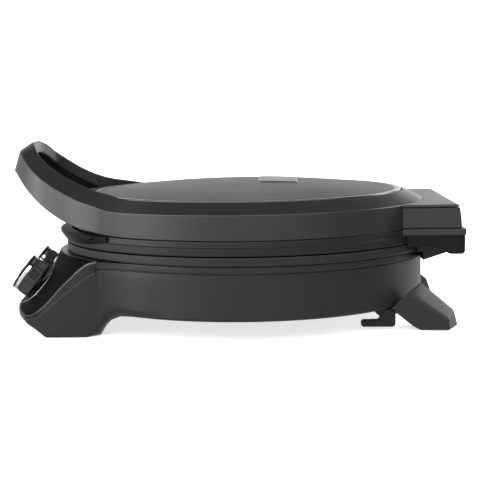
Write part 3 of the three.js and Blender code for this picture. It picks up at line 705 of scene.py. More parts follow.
# painted highlight: the panel's top faces, facing up at the crest, take the lighter copy
cover.data.materials.append(PANEL_TOP_HIGHLIGHT)
for poly_ in cover.data.polygons:
    if poly_.center.z > 0.0681 and poly_.normal.z > 0.7:
        poly_.material_index = 1

# ---- base casing: round wall, joined with the console housing and its two feet
ring = revolve("base_casing_mesh", [(163.6, 19.4)] + fillet([(165.6, 19.4), (172.0, 19.9), (172.0, 34)], [0, 7.4, 0], 8, closed=False)[1:-1]
               + [(172.0, 40), (172.0, 48), (172.0, 60.6), (171.75, 61.1), (171.2, 61.3), (171.2, 61.9), (172.9, 62.1), (173.5, 62.4), (173.8, 63.0), (173.8, 67.4), (173.55, 68.0), (173.0, 68.2),
                  (170.6, 68.2), (170.6, 64), (169, 62), (169, 28.4), (167.2, 25), (163.6, 23.6)], 360)

side_x = pchip([[-206, 127.2], [-198, 128.2], [-185, 129.6], [-165, 130.8], [-145, 131.0], [-133, 131.0], [-126, 131.9], [-118, 134.0], [-108, 138.0], [-97, 144.0], [-88, 149.3], [-80, 152.9], [-70, 157.0], [-60, 160.6]])
bottom_line = np.array(fillet([(-60, 19.4), (-98, 19.4), (-113.5, 17.5), (-121.5, 14.3), (-126.3, 9.2), (-129.6, 4.2), (-131.4, 0.8), (-142.5, 0.0), (-180.6, 0.0), (-189.7, 7.4), (-200.5, 14.0)],
                              [0, 10, 8, 6, 6, 3, 0.8, 0, 4, 8, 0], 6, closed=False))[::-1]


def side_bottom(y):
    return float(np.interp(y, bottom_line[:, 0], bottom_line[:, 1]))


edge_r = pchip([[-200, 2.4], [-188, 3.0], [-180, 2.6], [-146, 2.6], [-136, 9.0], [-128, 14.0], [-114, 13.0], [-100, 8.0], [-60, 7.0]])
KW = 12


def station(po, pd, pi, zb, rb, wall, z_low, rt, z_rim, deep_top, levels=None):
    """one upright section of the housing's skirt, from the deep bottom point round the outside to the deep top point.
    wall(z) gives the outer plan point at a height."""
    po, pd, pi = np.array(po, float), np.array(pd, float), np.array(pi, float)
    u = (pd - po) / np.linalg.norm(pd - po)
    out = [(*pd, zb)]
    for k in range(7):
        t = k / 6 * math.pi / 2
        z = zb + rb * (1 - math.cos(t))
        w = np.array(wall(z)) + u * rb * (1 - math.sin(t))
        out.append((*w, z))
    z0, z1 = zb + rb, z_low - rt
    for z in levels if levels else [z0 + (z1 - z0) * k / KW for k in range(1, KW + 1)]:
        out.append((*wall(z), z))
    # rounded turn into the strip, strip, rounded rim
    wl = np.array(wall(z_low))
    strip = np.array([*pi, z_rim]) - np.array([*wl, z_low])
    ls = np.linalg.norm(strip)
    sd = strip / ls
    corner = np.array([*wl, z_low])
    a = corner - np.array([0, 0, rt])
    b = corner + sd * rt
    for f in (0.25, 0.5, 0.75, 1.0):
        out.append(tuple((1 - f) ** 2 * a + 2 * f * (1 - f) * corner + f * f * b))
    rim = np.array([*pi, z_rim])
    out.append(tuple(rim - sd * min(1.9, ls * 0.4)))
    iu = np.array([*u, 0.0])
    up = np.array([0, 0, min(1.0, ls * 0.15)])
    out.append(tuple(rim - sd * min(1.0, ls * 0.25) + up * 0.30))
    out.append(tuple(rim - sd * min(0.4, ls * 0.1) + up * 0.42))
    out.append(tuple(rim + iu * 0.2 + up * 0.28))
    out.append(tuple(rim + iu * 0.45 - np.array([0, 0, 0.3])))
    out.append(tuple(rim + iu * 0.5 - np.array([0, 0, 1.6])))
    out.append((*(np.array(pi) + u * 0.55), max(deep_top, zb + 1.2)))
    out.append((*pd, max(deep_top - 0.5, zb + 1.0)))
    return out


half = []
ys_rear = np.concatenate([np.linspace(-62, -100, 16), np.linspace(-102, -132.75, 26)])
for y in ys_rear:
    xs_, xc_ = side_x(y), math.sqrt(171.9 ** 2 - y * y)

    def wall(z, y=y, xs_=xs_, xc_=xc_):
        groove_ = 0.75 * (sstep(60.6, 61.2, z) - sstep(61.9, 62.5, z))
        return (min(xs_, max(xc_ + 40, 0)) - 0.25 * sstep(56.5, 59.5, z) - groove_, y)
    zb = side_bottom(y)
    z0_ = zb + edge_r(y)
    half.append(station(wall(0), (108, y), (wall(67)[0] - 6, y), zb, edge_r(y), wall, 67.9, 0.5, 68.0, 56,
                        [z0_ + (60.3 - z0_) * k / 6 for k in range(1, 7)] + [60.9, 61.25, 61.85, 62.2, 62.7, 66.9]))
for y in np.concatenate([[-132.86, -133.0, -133.7, -133.84, -134.4], np.linspace(-135.5, -189, 55)]):
    def wall(z, y=y):
        return (side_x(y) - (1.1 if -133.75 < y < -132.95 else 0.0) * sstep(56.5, 58.5, z), y)
    half.append(station(wall(0), (110, y), (X_RIM, y), side_bottom(y), edge_r(y), wall, low_z(y), 1.0, rim_z(y), min(rim_z(y) - 10, 58)))
front_pts = [(x, cover_y(x, 19) - 1.7) for x in (117, 112, 106, 99)]
corner_path = np.array(fillet([(side_x(-189.2), -189.2), (128.3, -199.2), front_pts[0]], [0, 9.5, 0], 16, closed=False)[1:-1])
nc = len(corner_path)
for i, (x, y) in enumerate(corner_path):
    t = i / (nc - 1)
    tt = sstep(0.0, 1.0, t)
    pi = (X_RIM - 0.6 * t, -190 - 9.3 * t)
    yy = -190 - 9.3 * t
    pd = (110 - 2 * t, -189 + 2 * t)
    zb = max(side_bottom(y), 7.6 + 5.4 * tt)
    half.append(station((x, y), pd, pi, zb, 2.8, lambda z, x=x, y=y: (x, y), low_z(yy) * (1 - tt) + 18.6 * tt, 0.7, rim_z(yy) * (1 - tt) + 19.2 * tt, 15 * tt + (1 - tt) * (rim_z(yy) - 8)))
for x in np.concatenate([np.linspace(113, 100, 8), np.linspace(96, 0, 25)]):
    y = cover_y(x, 19) - 1.7
    half.append(station((x, y), (x * 0.92, y + 14), (x * 0.997, y + 1.35), 13.0 - 0.4 * (1 - x / 113), 2.4, lambda z, x=x, y=y: (x, y), 18.9, 0.6, 19.2, 14.6))
half = [np.array(s) for s in half]
full = half + [h * [-1, 1, 1] for h in half[:-1][::-1]]
skirt = rings("skirt", full)

core_z = [20.5, 23.3, 26, 29, 33.7, 38, 44, 50, 56, 62, 66.3]
core_sections = []
for x in np.linspace(-114, 114, 39):
    yf = cover_y(x, 19) + 3.0
    core_sections.append([(x, y, z) for y, z in
                          [(-96, 19.4), (-105.5, 18.8), (-114.5, 17.1), (-121.7, 14.2), (-126.5, 9.2), (-130, 4.2), (-132, 0.8), (-142.5, 0), (-180.6, 0), (-189.7, 7.4), (yf, 13.2), (yf, 14.4)]
                          + [(cover_y(x, z) + 1.2, max(z - 9.5, 14.6 + 0.02 * z)) for z in core_z] + [(cover_y(x, 68.4) + 2, 57), (-96, 57)]])
core = rings("core", core_sections)
cut(core, box("t", -88, 88, -230, -80, -5, 11))
join(core, skirt)
cut(core, disc("t", 170.4, -1, 200))
pts = [(x, cover_y(x, 19) + 4.2) for x in np.linspace(-107, 107, 30)]
cut(core, soft_prism("t", [*pts, (107, -90), (-107, -90)], 14.6, 120, 0, "z"))
casing = join(ring, core)
for sx in (-1, 1):
    cut(casing, box("t", sx * 111 - 12.4, sx * 111 + 12.4, -172.4, -145.6, -1, 3.4))
cut(casing, box("t", -104, 104, -190, -100, 25, 60))
cut(casing, soft_prism("t", [(6.4 * math.cos(t), 40 + 6.4 * math.sin(t)) for t in np.linspace(0, 2 * math.pi, 48, endpoint=False)], 160, 185, 0, "y"))
done(casing, SHELL, "base", ["base_casing"], 32)
# painted highlight: the console rim's rounded edge faces get a lighter grey plastic
casing.data.materials.append(RIM_HIGHLIGHT)
for poly_ in casing.data.polygons:
    ex, ey, ez = abs(poly_.center.x) * 1000, poly_.center.y * 1000 - Y0, poly_.center.z * 1000
    if 118 < ex < 124 and -198.5 < ey < -133.9 and math.hypot(ex - X_RIM, ez - rim_z(ey)) < 1.55 and poly_.normal.z > -0.2:
        poly_.material_index = 1

# ---- rim ring of the base
base_rim = revolve("base_rim_ring", fillet([(156.5, 69.6), (170, 68.7), (176.2, 68.7), (176.2, 76.7), (156.5, 76.7)], [0.4, 0, 1.6, 0.8, 0.4], 5), 360)
done(base_rim, SHELL, "base", ["base_rim"], 40)

# ---- knobs: ribbed skirt, bright cap with a dished face and a dark pointer
RK = 18.6


def grooves(a):
    """depth of the finger ribs by angle: eight groups of five fine grooves."""
    g = (a / (2 * math.pi) * 8) % 1.0
    if g < 0.14 or g > 0.86:
        return 0.0
    return 0.8 * (0.5 - 0.5 * math.cos((g - 0.14) / 0.72 * 2 * math.pi * 6)) ** 0.7


for sx, who in ((-1, "thermostat"), (1, "timer")):
    mt = knob_matrix(sx * KX, KYC, KZC)
    prof = [(3.4, -12.2), (RK - 0.9, -12.2), (RK - 0.3, -12.0), (RK, -11.5), (RK, -10.4), (RK, -9.9), (RK, -6.0), (RK, -2.0), (RK, -1.5), (RK, -0.7), (RK - 0.2, -0.25), (RK - 0.7, 0.0),
            (15.0, 0.0), (3.4, 0.0)]
    weight = [0, 0, 0, 0, 0.0, 1, 1, 1, 0.0, 0, 0, 0, 0, 0]
    skirt_ob = local_revolve(f"{who}_knob_skirt", prof, mt, 480, radial=lambda a, j, w=weight: grooves(a) * w[j])
    cut(skirt_ob, local_revolve("t", [(0, -14), (15.4, -14), (15.4, -4.2), (0, -4.2)], mt, 96))
    join(skirt_ob, local_revolve("t", [(3.4, -13.9), (9.2, -13.9), (9.6, -13.5), (9.6, -3.9), (3.4, -3.9)], mt, 72))
    done(skirt_ob, KNOBM, f"{who}_dial", [f"{who}_knob"], 35)
    cap_prof = fillet([(0, 0.4), (RK - 0.5, 0.4), (RK, 0.8), (RK - 0.15, 3.6), (RK - 1.5, 5.35), (15.0, 5.9), (14.2, 5.0), (0, 5.0)], [0, 0.2, 0.3, 0.8, 0.9, 0.35, 0.25, 0], 5)
    cap_ob = local_revolve(f"{who}_knob_bezel", cap_prof, mt, 180)
    done(cap_ob, CHROME, f"{who}_dial", [f"{who}_knob_cap"], 40)
    ring_ob = local_revolve(f"{who}_knob_trim", fillet([(16.5, 4.3), (18.52, 3.9), (18.35, 5.2), (17.3, 6.15), (16.2, 6.3)], [0, 0.2, 0.6, 0.5, 0.3], 4), mt, 180)
    done(ring_ob, TRIM, f"{who}_dial", [], 40)
    face_prof = [(0, 5.02), (13.9, 5.02), (13.95, 5.3)] + [(r, 8.15 - 2.75 * (r / 13.9) ** 2.3) for r in np.linspace(13.8, 0.8, 16)] + [(0, 8.15)]
    face_ob = local_revolve(f"{who}_knob_face", face_prof, mt, 120)
    done(face_ob, FACE, f"{who}_dial", [], 40)
    # pointer: a dark fin let into the bezel at the top of the knob
    ptr = rings(f"{who}_knob_pointer", [[(x * w, y, z) for x, z in fillet([(-1, 0), (1, 0), (1, h), (-1, h)], 0.35, 3)]
                                        for y, w, h in ((9.0, 0.75, 2.3), (9.5, 0.95, 2.6), (14.8, 1.1, 2.1), (17.4, 1.15, 1.9), (18.7, 1.1, 1.2), (18.9, 0.9, 0.7))])
    ptr.data.transform(Matrix.Translation((0, -Y0 / 1000, 5.0 / 1000)))
    ptr.data.transform(mt)
    done(ptr, KNOBM, f"{who}_dial", [], 35)
# pilot lamp: small round lens with a stepped rim
lamp_ob = local_revolve("pilot_lamp_lens", [(0, -11), (3.5, -11), (3.5, 0.2), (3.75, 0.5), (3.75, 1.0), (3.5, 1.3), (3.1, 1.35)] + [(3.0 * math.cos(t), 1.35 + 1.0 * math.sin(t)) for t in np.linspace(0.15, math.pi / 2 - 0.12, 7)] + [(0, 2.35)], knob_matrix(*LAMP), 64)
done(lamp_ob, LENS, "base", ["pilot_lamp"], 40)


# ---- white scale marks and numerals printed on the panel round the knobs
def on_panel(cx, lx, ly, lift):
    """point of the panel below a point (lx, ly) of a knob's own plane, lifted along the knob axis."""
    base = Vector((cx, KYC, KZC)) + Vector((1, 0, 0)) * lx + KE * ly
    lo, hi = -30.0, -6.0
    for _ in range(26):
        m = (lo + hi) / 2
        p = base + KN * m
        z = min(max(p.z, 19.0), 68.4)
        if p.y < cover_y(p.x, z) or p.z > 68.4:
            hi = m
        else:
            lo = m
    return base + KN * (lo + lift)


def printed(name, outline, cx, body="base"):
    """thin raised print whose outline points [x, y] lie in the knob's plane."""
    top = [on_panel(cx, x, y, 0.16) for x, y in outline]
    low = [on_panel(cx, x, y, -0.25) for x, y in outline]
    return [tuple(p) for p in low], [tuple(p) for p in top]


def strip_mesh(name, outlines, cx):
    verts, faces = [], []
    for o_ in outlines:
        low, top = printed(name, o_, cx)
        n, k = len(o_), len(verts)
        verts += low + top
        faces += [(k + i, k + (i + 1) % n, k + n + (i + 1) % n, k + n + i) for i in range(n)]
        faces.append(tuple(k + i for i in range(n))[::-1])
        faces.append(tuple(k + n + i for i in range(n)))
    return obj_from(name, verts, faces)


SEG_SHAPES = {
    "0": "abcdef", "1": "bc", "2": "abged", "3": "abgcd", "4": "fgbc", "5": "afgcd", "6": "afgedc", "7": "abc", "8": "abcdefg", "9": "abcdfg"}


def digit(ch, cx, cy, h, ang):
    """a plain numeral built of short bars with mitred joints, as outlines; ang turns it in the plane."""
    w, t = h * 0.52, h * 0.15
    bars = {"a": ((-w / 2, h / 2), (w / 2, h / 2)), "b": ((w / 2, h / 2), (w / 2, 0)), "c": ((w / 2, 0), (w / 2, -h / 2)), "d": ((-w / 2, -h / 2), (w / 2, -h / 2)),
            "e": ((-w / 2, 0), (-w / 2, -h / 2)), "f": ((-w / 2, h / 2), (-w / 2, 0)), "g": ((-w / 2, 0), (w / 2, 0))}
    out = []
    for s in SEG_SHAPES[ch]:
        (x0, y0), (x1, y1) = bars[s]
        dx, dy = x1 - x0, y1 - y0
        ln = math.hypot(dx, dy)
        dx, dy = dx / ln, dy / ln
        e = t * 0.42
        c = [(x0 + dx * (t * 0.06), y0 + dy * (t * 0.06)), (x0 + dx * e - dy * e, y0 + dy * e + dx * e), (x1 - dx * e - dy * e, y1 - dy * e + dx * e), (x1 - dx * t * 0.06, y1 - dy * t * 0.06),
             (x1 - dx * e + dy * e, y1 - dy * e - dx * e), (x0 + dx * e + dy * e, y0 + dy * e - dx * e)]
        out.append([(cx + math.cos(ang) * x - math.sin(ang) * y, cy + math.sin(ang) * x + math.cos(ang) * y) for x, y in c])
    return out


for sx, who, labels in ((-1, "thermostat", ["0", "1", "2", "3", "4", "5"]), (1, "timer", ["0", "5", "10", "15", "20", "25", "30"])):
    turn = 270 if who == "thermostat" else 300
    marks, figures = [], []
    for i, lab in enumerate(labels):
        t = math.radians(90 - turn * i / (len(labels) - 1))
        c, s = math.cos(t), math.sin(t)
        marks.append([(c * 21.0 - s * 0.55, s * 21.0 + c * 0.55), (c * 24.0 - s * 0.55, s * 24.0 + c * 0.55), (c * 24.0 + s * 0.55, s * 24.0 - c * 0.55), (c * 21.0 + s * 0.55, s * 21.0 - c * 0.55)])
        h, r = 3.2, 29.4
        if r * s < -19:
            continue
        step = h * 0.52 + 1.2
        for k, ch in enumerate(lab):
            figures += digit(ch, r * c + (k - (len(lab) - 1) / 2) * step, r * s, h, 0.0)
    done(strip_mesh(f"{who}_scale_marks", marks, sx * KX), INK, "base", [], 30, weighted=False)
    done(strip_mesh(f"{who}_scale_print", figures, sx * KX), INK_DIM, "base", [], 30, weighted=False)

# ---- satin ring let into the panel round each scale
for sx, who in ((-1, "thermostat"), (1, "timer")):
    verts, faces = [], []
    steps = [t for t in np.linspace(-math.pi, math.pi, 240, endpoint=False)]
    for t in steps:
        c, s_ = math.cos(t), math.sin(t)
        for r, lift in ((25.5, -0.3), (25.6, 0.30), (25.9, 0.50), (26.7, 0.50), (27.0, 0.30), (27.1, -0.3)):
            verts.append(tuple(on_panel(sx * KX, r * c, r * s_, lift)))
    for i in range(len(steps)):
        for k in range(6):
            a, b = i * 6 + k, i * 6 + (k + 1) % 6
            c_, d_ = ((i + 1) % len(steps)) * 6 + k, ((i + 1) % len(steps)) * 6 + (k + 1) % 6
            faces.append((a, b, d_, c_))
    done(obj_from(f"{who}_scale_ring", verts, faces), SURROUND, "base", [], 60)

# ---- hinge bracket at the back of the base
HY, HZ = 195.0, 75.0


def arc(y, z, r, a0, a1, n):
    return [(y + r * math.cos(math.radians(a0 + (a1 - a0) * i / n)), z + r * math.sin(math.radians(a0 + (a1 - a0) * i / n))) for i in range(n + 1)]


def x_rod(name, r, x0, x1, y, z, n=48):
    return soft_prism(name, [(y + r * math.cos(t), z + r * math.sin(t)) for t in np.linspace(0, 2 * math.pi, n, endpoint=False)], x0, x1, 0)


bracket = soft_prism("hinge_bracket_mesh", [(150, 54.3), *fillet([(150, 54.3), (187.6, 66.3), (189, 66.0)], [0, 1.0, 0], 4, closed=False)[1:-1], *arc(HY, HZ, 8.2, -112, 150, 30), (184.6, 76.6), (150, 76.6)], -74.4, 74.4, 0.9)
cut(bracket, disc("t", 177.2, 67.9, 100))
cut(bracket, disc("t", 174.3, 61.2, 68.5))
cut(bracket, disc("t", 172.4, 0, 62))
cut(bracket, box("t", -60, 60, 140, 186.5, 70, 90))
for sx in (-1, 1):
    cut(bracket, box("t", sx * 57 - 18, sx * 57 + 18, 140, 166.4, 50, 67.4))
for sx in (-1, 1):
    cut(bracket, x_rod("t", 3.4, *((52, 80) if sx > 0 else (-80, -52)), HY, HZ))
    pin = soft_prism(f"hinge_pin_{'left' if sx < 0 else 'right'}_rod", [(HY + 3 * math.cos(t), HZ + 3 * math.sin(t)) for t in np.linspace(0, 2 * math.pi, 40, endpoint=False)],
                     *((52.5, 91.5) if sx > 0 else (-91.5, -52.5)), 0.5)
    done(pin, STEEL, "base", [f"hinge_pin_{'left' if sx < 0 else 'right'}"], 40)
done(bracket, SHELL, "base", ["hinge_bracket"], 32)

# ---- rear legs, pads, cord hooks
outer_leg = [(111, 131, 19.0), (111.5, 149, 35.4), (117, 184.5, 10.8), (117, 184.9, 0.5), (114, 158.6, 0.5), (113, 152, 4.2), (112, 134.8, 18.0)]
inner_leg = [(80, 150, 19.0), (96, 161.7, 42.4), (100, 191.9, 16.6), (86, 196.8, 0.5), (84, 169, 0.5), (83, 164, 4.2), (80, 153, 18.0)]


def leg_rings():
    r_list = [0.0, 1.2, 1.6, 1.4, 4.0, 3.0, 0.0]
    po = np.array(fillet([p[1:] for p in outer_leg], r_list, 4))
    pi = np.array(fillet([p[1:] for p in inner_leg], r_list, 4))
    # the two side faces are planes through the measured corners
    A = np.array([[p[1], p[2], 1] for p in outer_leg])
    k, *_ = np.linalg.lstsq(A, np.array([p[0] for p in outer_leg]), rcond=None)
    xo = po @ k[:2] + k[2]
    A = np.array([[p[1], p[2], 1] for p in inner_leg])
    k, *_ = np.linalg.lstsq(A, np.array([p[0] for p in inner_leg]), rcond=None)
    xi = np.maximum(pi @ k[:2] + k[2], 79.0)
    out = np.column_stack([xo, po])
    inn = np.column_stack([xi, pi])
    res = []
    R = 1.5
    for t in np.linspace(0, math.pi / 2, 5):
        c, s = 1 - math.cos(t), 1 - math.sin(t)
        q = inset(po, R * (1 - math.sin(t)))
        d = (inn - out)
        d /= np.linalg.norm(d, axis=1)[:, None]
        ring_ = np.column_stack([xo, q]) + d * R * (1 - math.cos(t))
        res.append(ring_)
    for f in np.linspace(0.08, 0.92, 12):
        res.append(out * (1 - f) + inn * f)
    for t in np.linspace(math.pi / 2, 0, 5):
        q = inset(pi, R * (1 - math.sin(t)))
        d = (out - inn)
        d /= np.linalg.norm(d, axis=1)[:, None]
        res.append(np.column_stack([xi, q]) + d * R * (1 - math.cos(t)))
    return res


leg = rings("rear_leg_right_mesh", leg_rings())
cut(leg, disc("t", 172.35, 19.0, 60, 240))
join(leg, soft_prism("t", [(112, 128), (110, 140), (82, 160), (78, 148), (96, 130)], 15.4, 19.0, 0.4, "z"))
cut(leg, box("t", 98.8, 109.2, 117, 137.6, -1, 19.6))
cut(leg, box("t", 109.1, 114.5, 117, 135.6, -1, 19.6))
cut(leg, box("t", 87.6, 104.4, 170.6, 187.4, -1, 4))
leg_l = mirror_x("rear_leg_left_mesh", leg)
done(leg, SHELL, "base", ["rear_leg_right"], 32)
done(leg_l, SHELL, "base", ["rear_leg_left"], 32)
hook_poly = fillet([(105.8, 3.0), (137, 2.7), (137.2, 19.0), (115.8, 19.0), (118.0, 16.8), (123.4, 12.0), (121.6, 9.3), (105.8, 9.0)], [2.2, 3.2, 0, 0, 1.5, 2.4, 1.2, 2.2], 5)
for sx, who in ((-1, "left"), (1, "right")):
    pad = box(f"rear_foot_pad_{who}_mesh", sx * 96 - 8, sx * 96 + 8, 171, 187, 0, 3.6, 0.8)
    done(pad, RUBBER, "base", [f"rear_foot_pad_{who}"], 40)
    padf = box(f"front_foot_pad_{who}_mesh", sx * 111 - 12, sx * 111 + 12, -172, -146, 0, 3.0, 0.8)
    done(padf, RUBBER, "base", [f"front_foot_pad_{who}"], 40)
    hx = (99.5, 108.5) if sx > 0 else (-108.5, -99.5)
    hook = soft_prism(f"cord_hook_{who}_mesh", hook_poly, *hx, 1.1)
    done(hook, DARK, "base", [f"cord_hook_{who}"], 35)

# ---- cord inlet gland, screws, bottom plate
gland = revolve("t", fillet([(3.6, -8), (6.0, -8), (6.0, -6.0), (8.8, -6.0), (8.8, -2.8), (6.0, -2.8), (6.0, 1.25), (3.6, 1.25)], [0.2, 0.3, 0, 0.3, 0.3, 0, 0.5, 0.9], 5), 72)
gland.name = "cord_inlet_gland_mesh"
gland.data.transform(Matrix.Translation((0, -Y0 / 1000, 0)))
gland.data.transform(Matrix.Rotation(-math.pi / 2, 4, "X"))
gland.data.transform(Matrix.Translation((0, (171.0 + Y0) / 1000, 0.040)))
done(gland, DARK, "base", ["cord_inlet_gland"], 35)
for i, (x, y) in enumerate([(-130, -60), (130, -60), (-70, 130), (70, 130)]):
    s = revolve(f"bottom_screw_{i + 1}_mesh", [(0, 18.3), (0.9, 18.3), (0.95, 17.75), (2.2, 17.6), (3.2, 17.8), (3.9, 18.6), (3.9, 19.4), (2.0, 19.5), (2.0, 20.1), (0, 20.1)], 40, (x, y))
    cut(s, box("t", x - 2.2, x + 2.2, y - 0.35, y + 0.35, 17, 18.4))
    cut(s, box("t", x - 0.35, x + 0.35, y - 2.2, y + 2.2, 17, 18.4))
    done(s, ZINC, "base", [f"bottom_screw_{i + 1}"], 35)
plate = revolve("bottom_cover_mesh", fillet([(0, 20.4), (60, 20.4), (62, 21.0), (150, 21.0), (152, 20.4), (163.1, 20.4), (163.1, 22.8), (0, 22.8)], [0, 1, 1, 1, 1, 0.3, 0.3, 0], 3), 240)
slots = []
for i in range(6):
    for sx in (-1, 1):
        x0, x1, y0, y1 = sx * 60 - 28, sx * 60 + 28, -40 + i * 14, -35 + i * 14
        cut(plate, soft_prism("t", fillet([(x0, y0), (x1, y0), (x1, y1), (x0, y1)], 2.3, 5), 15, 30, 0, "z"))
done(plate, PLATE, "base", ["bottom_cover"], 35)

# ---- cooking parts in the base
stone = revolve("baking_stone_mesh", fillet([(0, 62.6), (149.9, 62.6), (149.9, 74.6), (0, 74.6)], [0, 1.6, 1.6, 0], 5)[:1] + [(50, 62.6), (100, 62.6), (140, 62.6)]
                + fillet([(0, 62.6), (149.9, 62.6), (149.9, 74.6), (0, 74.6)], [0, 1.6, 1.6, 0], 5)[1:-1] + [(140, 74.6), (100, 74.6), (50, 74.6), (0, 74.6)], 300)
done(stone, STONE, "base", ["baking_stone"], 40)
pan = revolve("lower_reflector_mesh", fillet([(0, 35.6), (142.6, 35.6), (144.2, 60.9), (152.0, 61.3), (153.2, 67.0), (167, 67.0), (167, 68.2), (152.1, 68.2), (150.9, 62.3), (143.1, 62.1), (141.5, 36.8), (0, 36.8)],
                                             [0, 5, 1.5, 2, 1.5, 0.2, 0.2, 2.2, 1.2, 1.8, 4, 0], 5), 240)
for sx in (-1, 1):
    cut(pan, revolve("t", [(0, 20), (6, 20), (6, 50), (0, 50)], 32, (sx * 18, 102.4)))
done(pan, REFLECTOR, "base", ["lower_reflector"], 35)


def element_path(z, z_end, d):
    p = [(18, 102.4, z_end), (18, 102.4, z_end + (z - z_end) * 0.35), (18, 102.4, z_end + (z - z_end) * 0.65), (18, 102.4, z - d * 5)]
    p += [(104 * math.cos(math.radians(a)), 104 * math.sin(math.radians(a)), z) for a in np.linspace(72, -252, 40)]
    p += [(-18, 102.4, z - d * 5), (-18, 102.4, z_end + (z - z_end) * 0.65), (-18, 102.4, z_end + (z - z_end) * 0.35), (-18, 102.4, z_end)]
    return catmull(p, 5)


done(tube("lower_element_tube", element_path(48, 26.5, 1), 3.55, 20), ELEMENT, "base", ["lower_heating_element"], 40)
done(tube("upper_element_tube", element_path(97, 111.7, -1), 3.55, 20), ELEMENT, "lid", ["upper_heating_element"], 40)


def saddle(name, z, ang, foot):
    """U-shaped carrier bent of strip round the element."""
    s, h = (1 if foot < z else -1), abs(z - foot)
    poly = fillet([(-9, 0), (9, 0), (9, h + 2), (5.2, h + 2), (5.2, h - 4.6), (-5.2, h - 4.6), (-5.2, h + 2), (-9, h + 2)], [0.6, 0.6, 0.9, 0.9, 3.2, 3.2, 0.9, 0.9], 4)
    ob = soft_prism(name, [(a, b * s) for a, b in poly], -2, 2, 0.35, "y")
    ob.data.transform(Matrix.Translation((0, -Y0 / 1000, 0)))
    ob.data.transform(Matrix.Rotation(ang, 4, "Z"))
    ob.data.transform(Matrix.Translation((104 * math.cos(ang) / 1000, (104 * math.sin(ang) + Y0) / 1000, foot / 1000)))
    return ob


for i, a in enumerate((-90, 20, 160)):
    done(saddle(f"lower_saddle_{i + 1}", 48, math.radians(a), 37.1), STEEL, "base", [f"lower_element_clip_{i + 1}"], 40)
    done(saddle(f"upper_saddle_{i + 1}", 97, math.radians(a), 107.5), STEEL, "lid", [f"upper_element_clip_{i + 1}"], 40)

# ================================================================== LID
# ---- rim moulding: ring, front lip, rear plate, hinge knuckles
lid_rim = revolve("lid_rim_mesh", fillet([(160, 77.5), (176.2, 77.5), (176.2, 84.6), (174.9, 85.3), (174.4, 90.4), (171.4, 90.4), (171.4, 80.6), (163, 80.6), (163, 90.4), (160, 90.4)],
                                         [0.5, 1.2, 0.35, 0.5, 0.6, 0.4, 0.8, 0.8, 0.4, 0.4], 5), 360)


lip_r = pchip([[0, 182.7], [20, 182.3], [33, 180.9], [45.5, 178.2]])
lip_rings = []
for q in np.linspace(-45.5, 45.5, 111):
    r1 = lip_r(abs(q)) - 0.9 * sstep(45.0, 45.5, abs(q))
    sec = fillet([(172.6, 80.9), (r1 - 4.6, 80.9), (r1 - 0.7, 86.6), (r1, 89.0), (r1 - 1.2, 90.4), (172.6, 90.4)], [0, 1.4, 2.0, 0.9, 0.8, 0], 4)
    a = math.radians(q)
    lip_rings.append([(r * math.sin(a), -r * math.cos(a), z) for r, z in sec])
join(lid_rim, rings("lip", lip_rings))
for sx in (-1, 1):
    for a0 in (39.9,):
        slot_poly = [(r * math.sin(sx * math.radians(a)), -r * math.cos(sx * math.radians(a))) for r, a in
                     [(177.4, a0 - 1.3), (177.4, a0), (177.4, a0 + 1.3), (184.5, a0 + 1.3), (184.5, a0), (184.5, a0 - 1.3)]]
        cut(lid_rim, soft_prism("t", slot_poly, 87.4, 88.6, 0, "z"))
rear_plan = fillet([(-97.6, 100), (97.6, 100), (97.6, 203.4), (-97.6, 203.4)], [0, 0, 3.2, 3.2], 6)
rear_plate = soft_prism("rp", rear_plan, 85.2, 91.2, 0.7, "z")
cut(rear_plate, disc("t", 172.5, 60, 89.99, 360))
cut(rear_plate, disc("t", 174.9, 89.98, 120, 360))
join(lid_rim, rear_plate)
kn_poly = fillet([(120, 85.5), (120, 74.6), (177.5, 74.6), (182, 72.2), (186, 68.9), (189, 67.6), (200.6, 67.6), (202.6, 69.6), (202.6, 85.5)], [0, 0, 2.0, 2, 2, 2, 1.4, 1.0, 0], 5)
for sx in (-1, 1):
    x0, x1 = (75.1, 97.0) if sx > 0 else (-97.0, -75.1)
    kn = soft_prism("kn", kn_poly, x0, x1, 0.8)
    keep_plan = [(sx * 75.0, 100), (sx * 97.2, 100), (sx * 97.2, 195.8), (sx * 96.0, 196.9), (sx * 93.2, 202.0), (sx * 92.4, 203), (sx * 75.0, 203)]
    cut(kn, soft_prism("t", keep_plan if sx > 0 else keep_plan[::-1], 60, 90, 0, "z"), "INTERSECT")
    wedge = [(sx * 98.5, 85.15), (sx * 95.9, 85.15), (sx * 94.4, 60), (sx * 98.5, 60)]
    cut(kn, soft_prism("t", wedge if sx > 0 else wedge[::-1], 100, 215, 0, "y"))
    cut(kn, disc("t", 177.0, 60, 85.25, 360))
    cut(kn, disc("t", 172.5, 60, 100, 360))
    cut(kn, x_rod("t", 3.4, *((70, 92) if sx > 0 else (-92, -70)), HY, HZ))
    join(lid_rim, kn)
for sx in (-1, 1):
    cut(lid_rim, revolve("t", [(0, 78), (2.6, 78), (2.6, 98), (0, 98)], 32, (sx * 60, 186)))
done(lid_rim, RIM_SHADED, "lid", ["lid_rim"], 32)
lid_rim.data.materials.append(SHADE_DARK)
# the rim's outer faces at the back take the lighter lid plastic instead of the darker, shaded copy
lid_rim.data.materials.append(BAND)
# index 1: the knuckles' lower rear faces darkened, and painted shade on the front lip's top under the handle band
for poly_ in lid_rim.data.polygons:
    if poly_.center.z < 0.0851 and poly_.center.y > 0.186:
        poly_.material_index = 1
    elif poly_.center.y < -0.108 and math.hypot(poly_.center.x, poly_.center.y - Y0 / 1000) > 0.1752 and poly_.center.z > 0.0852:
        poly_.material_index = 1
    elif poly_.center.y > 0.115 and math.hypot(poly_.center.x, poly_.center.y - Y0 / 1000) > 0.1768:
        poly_.material_index = 2

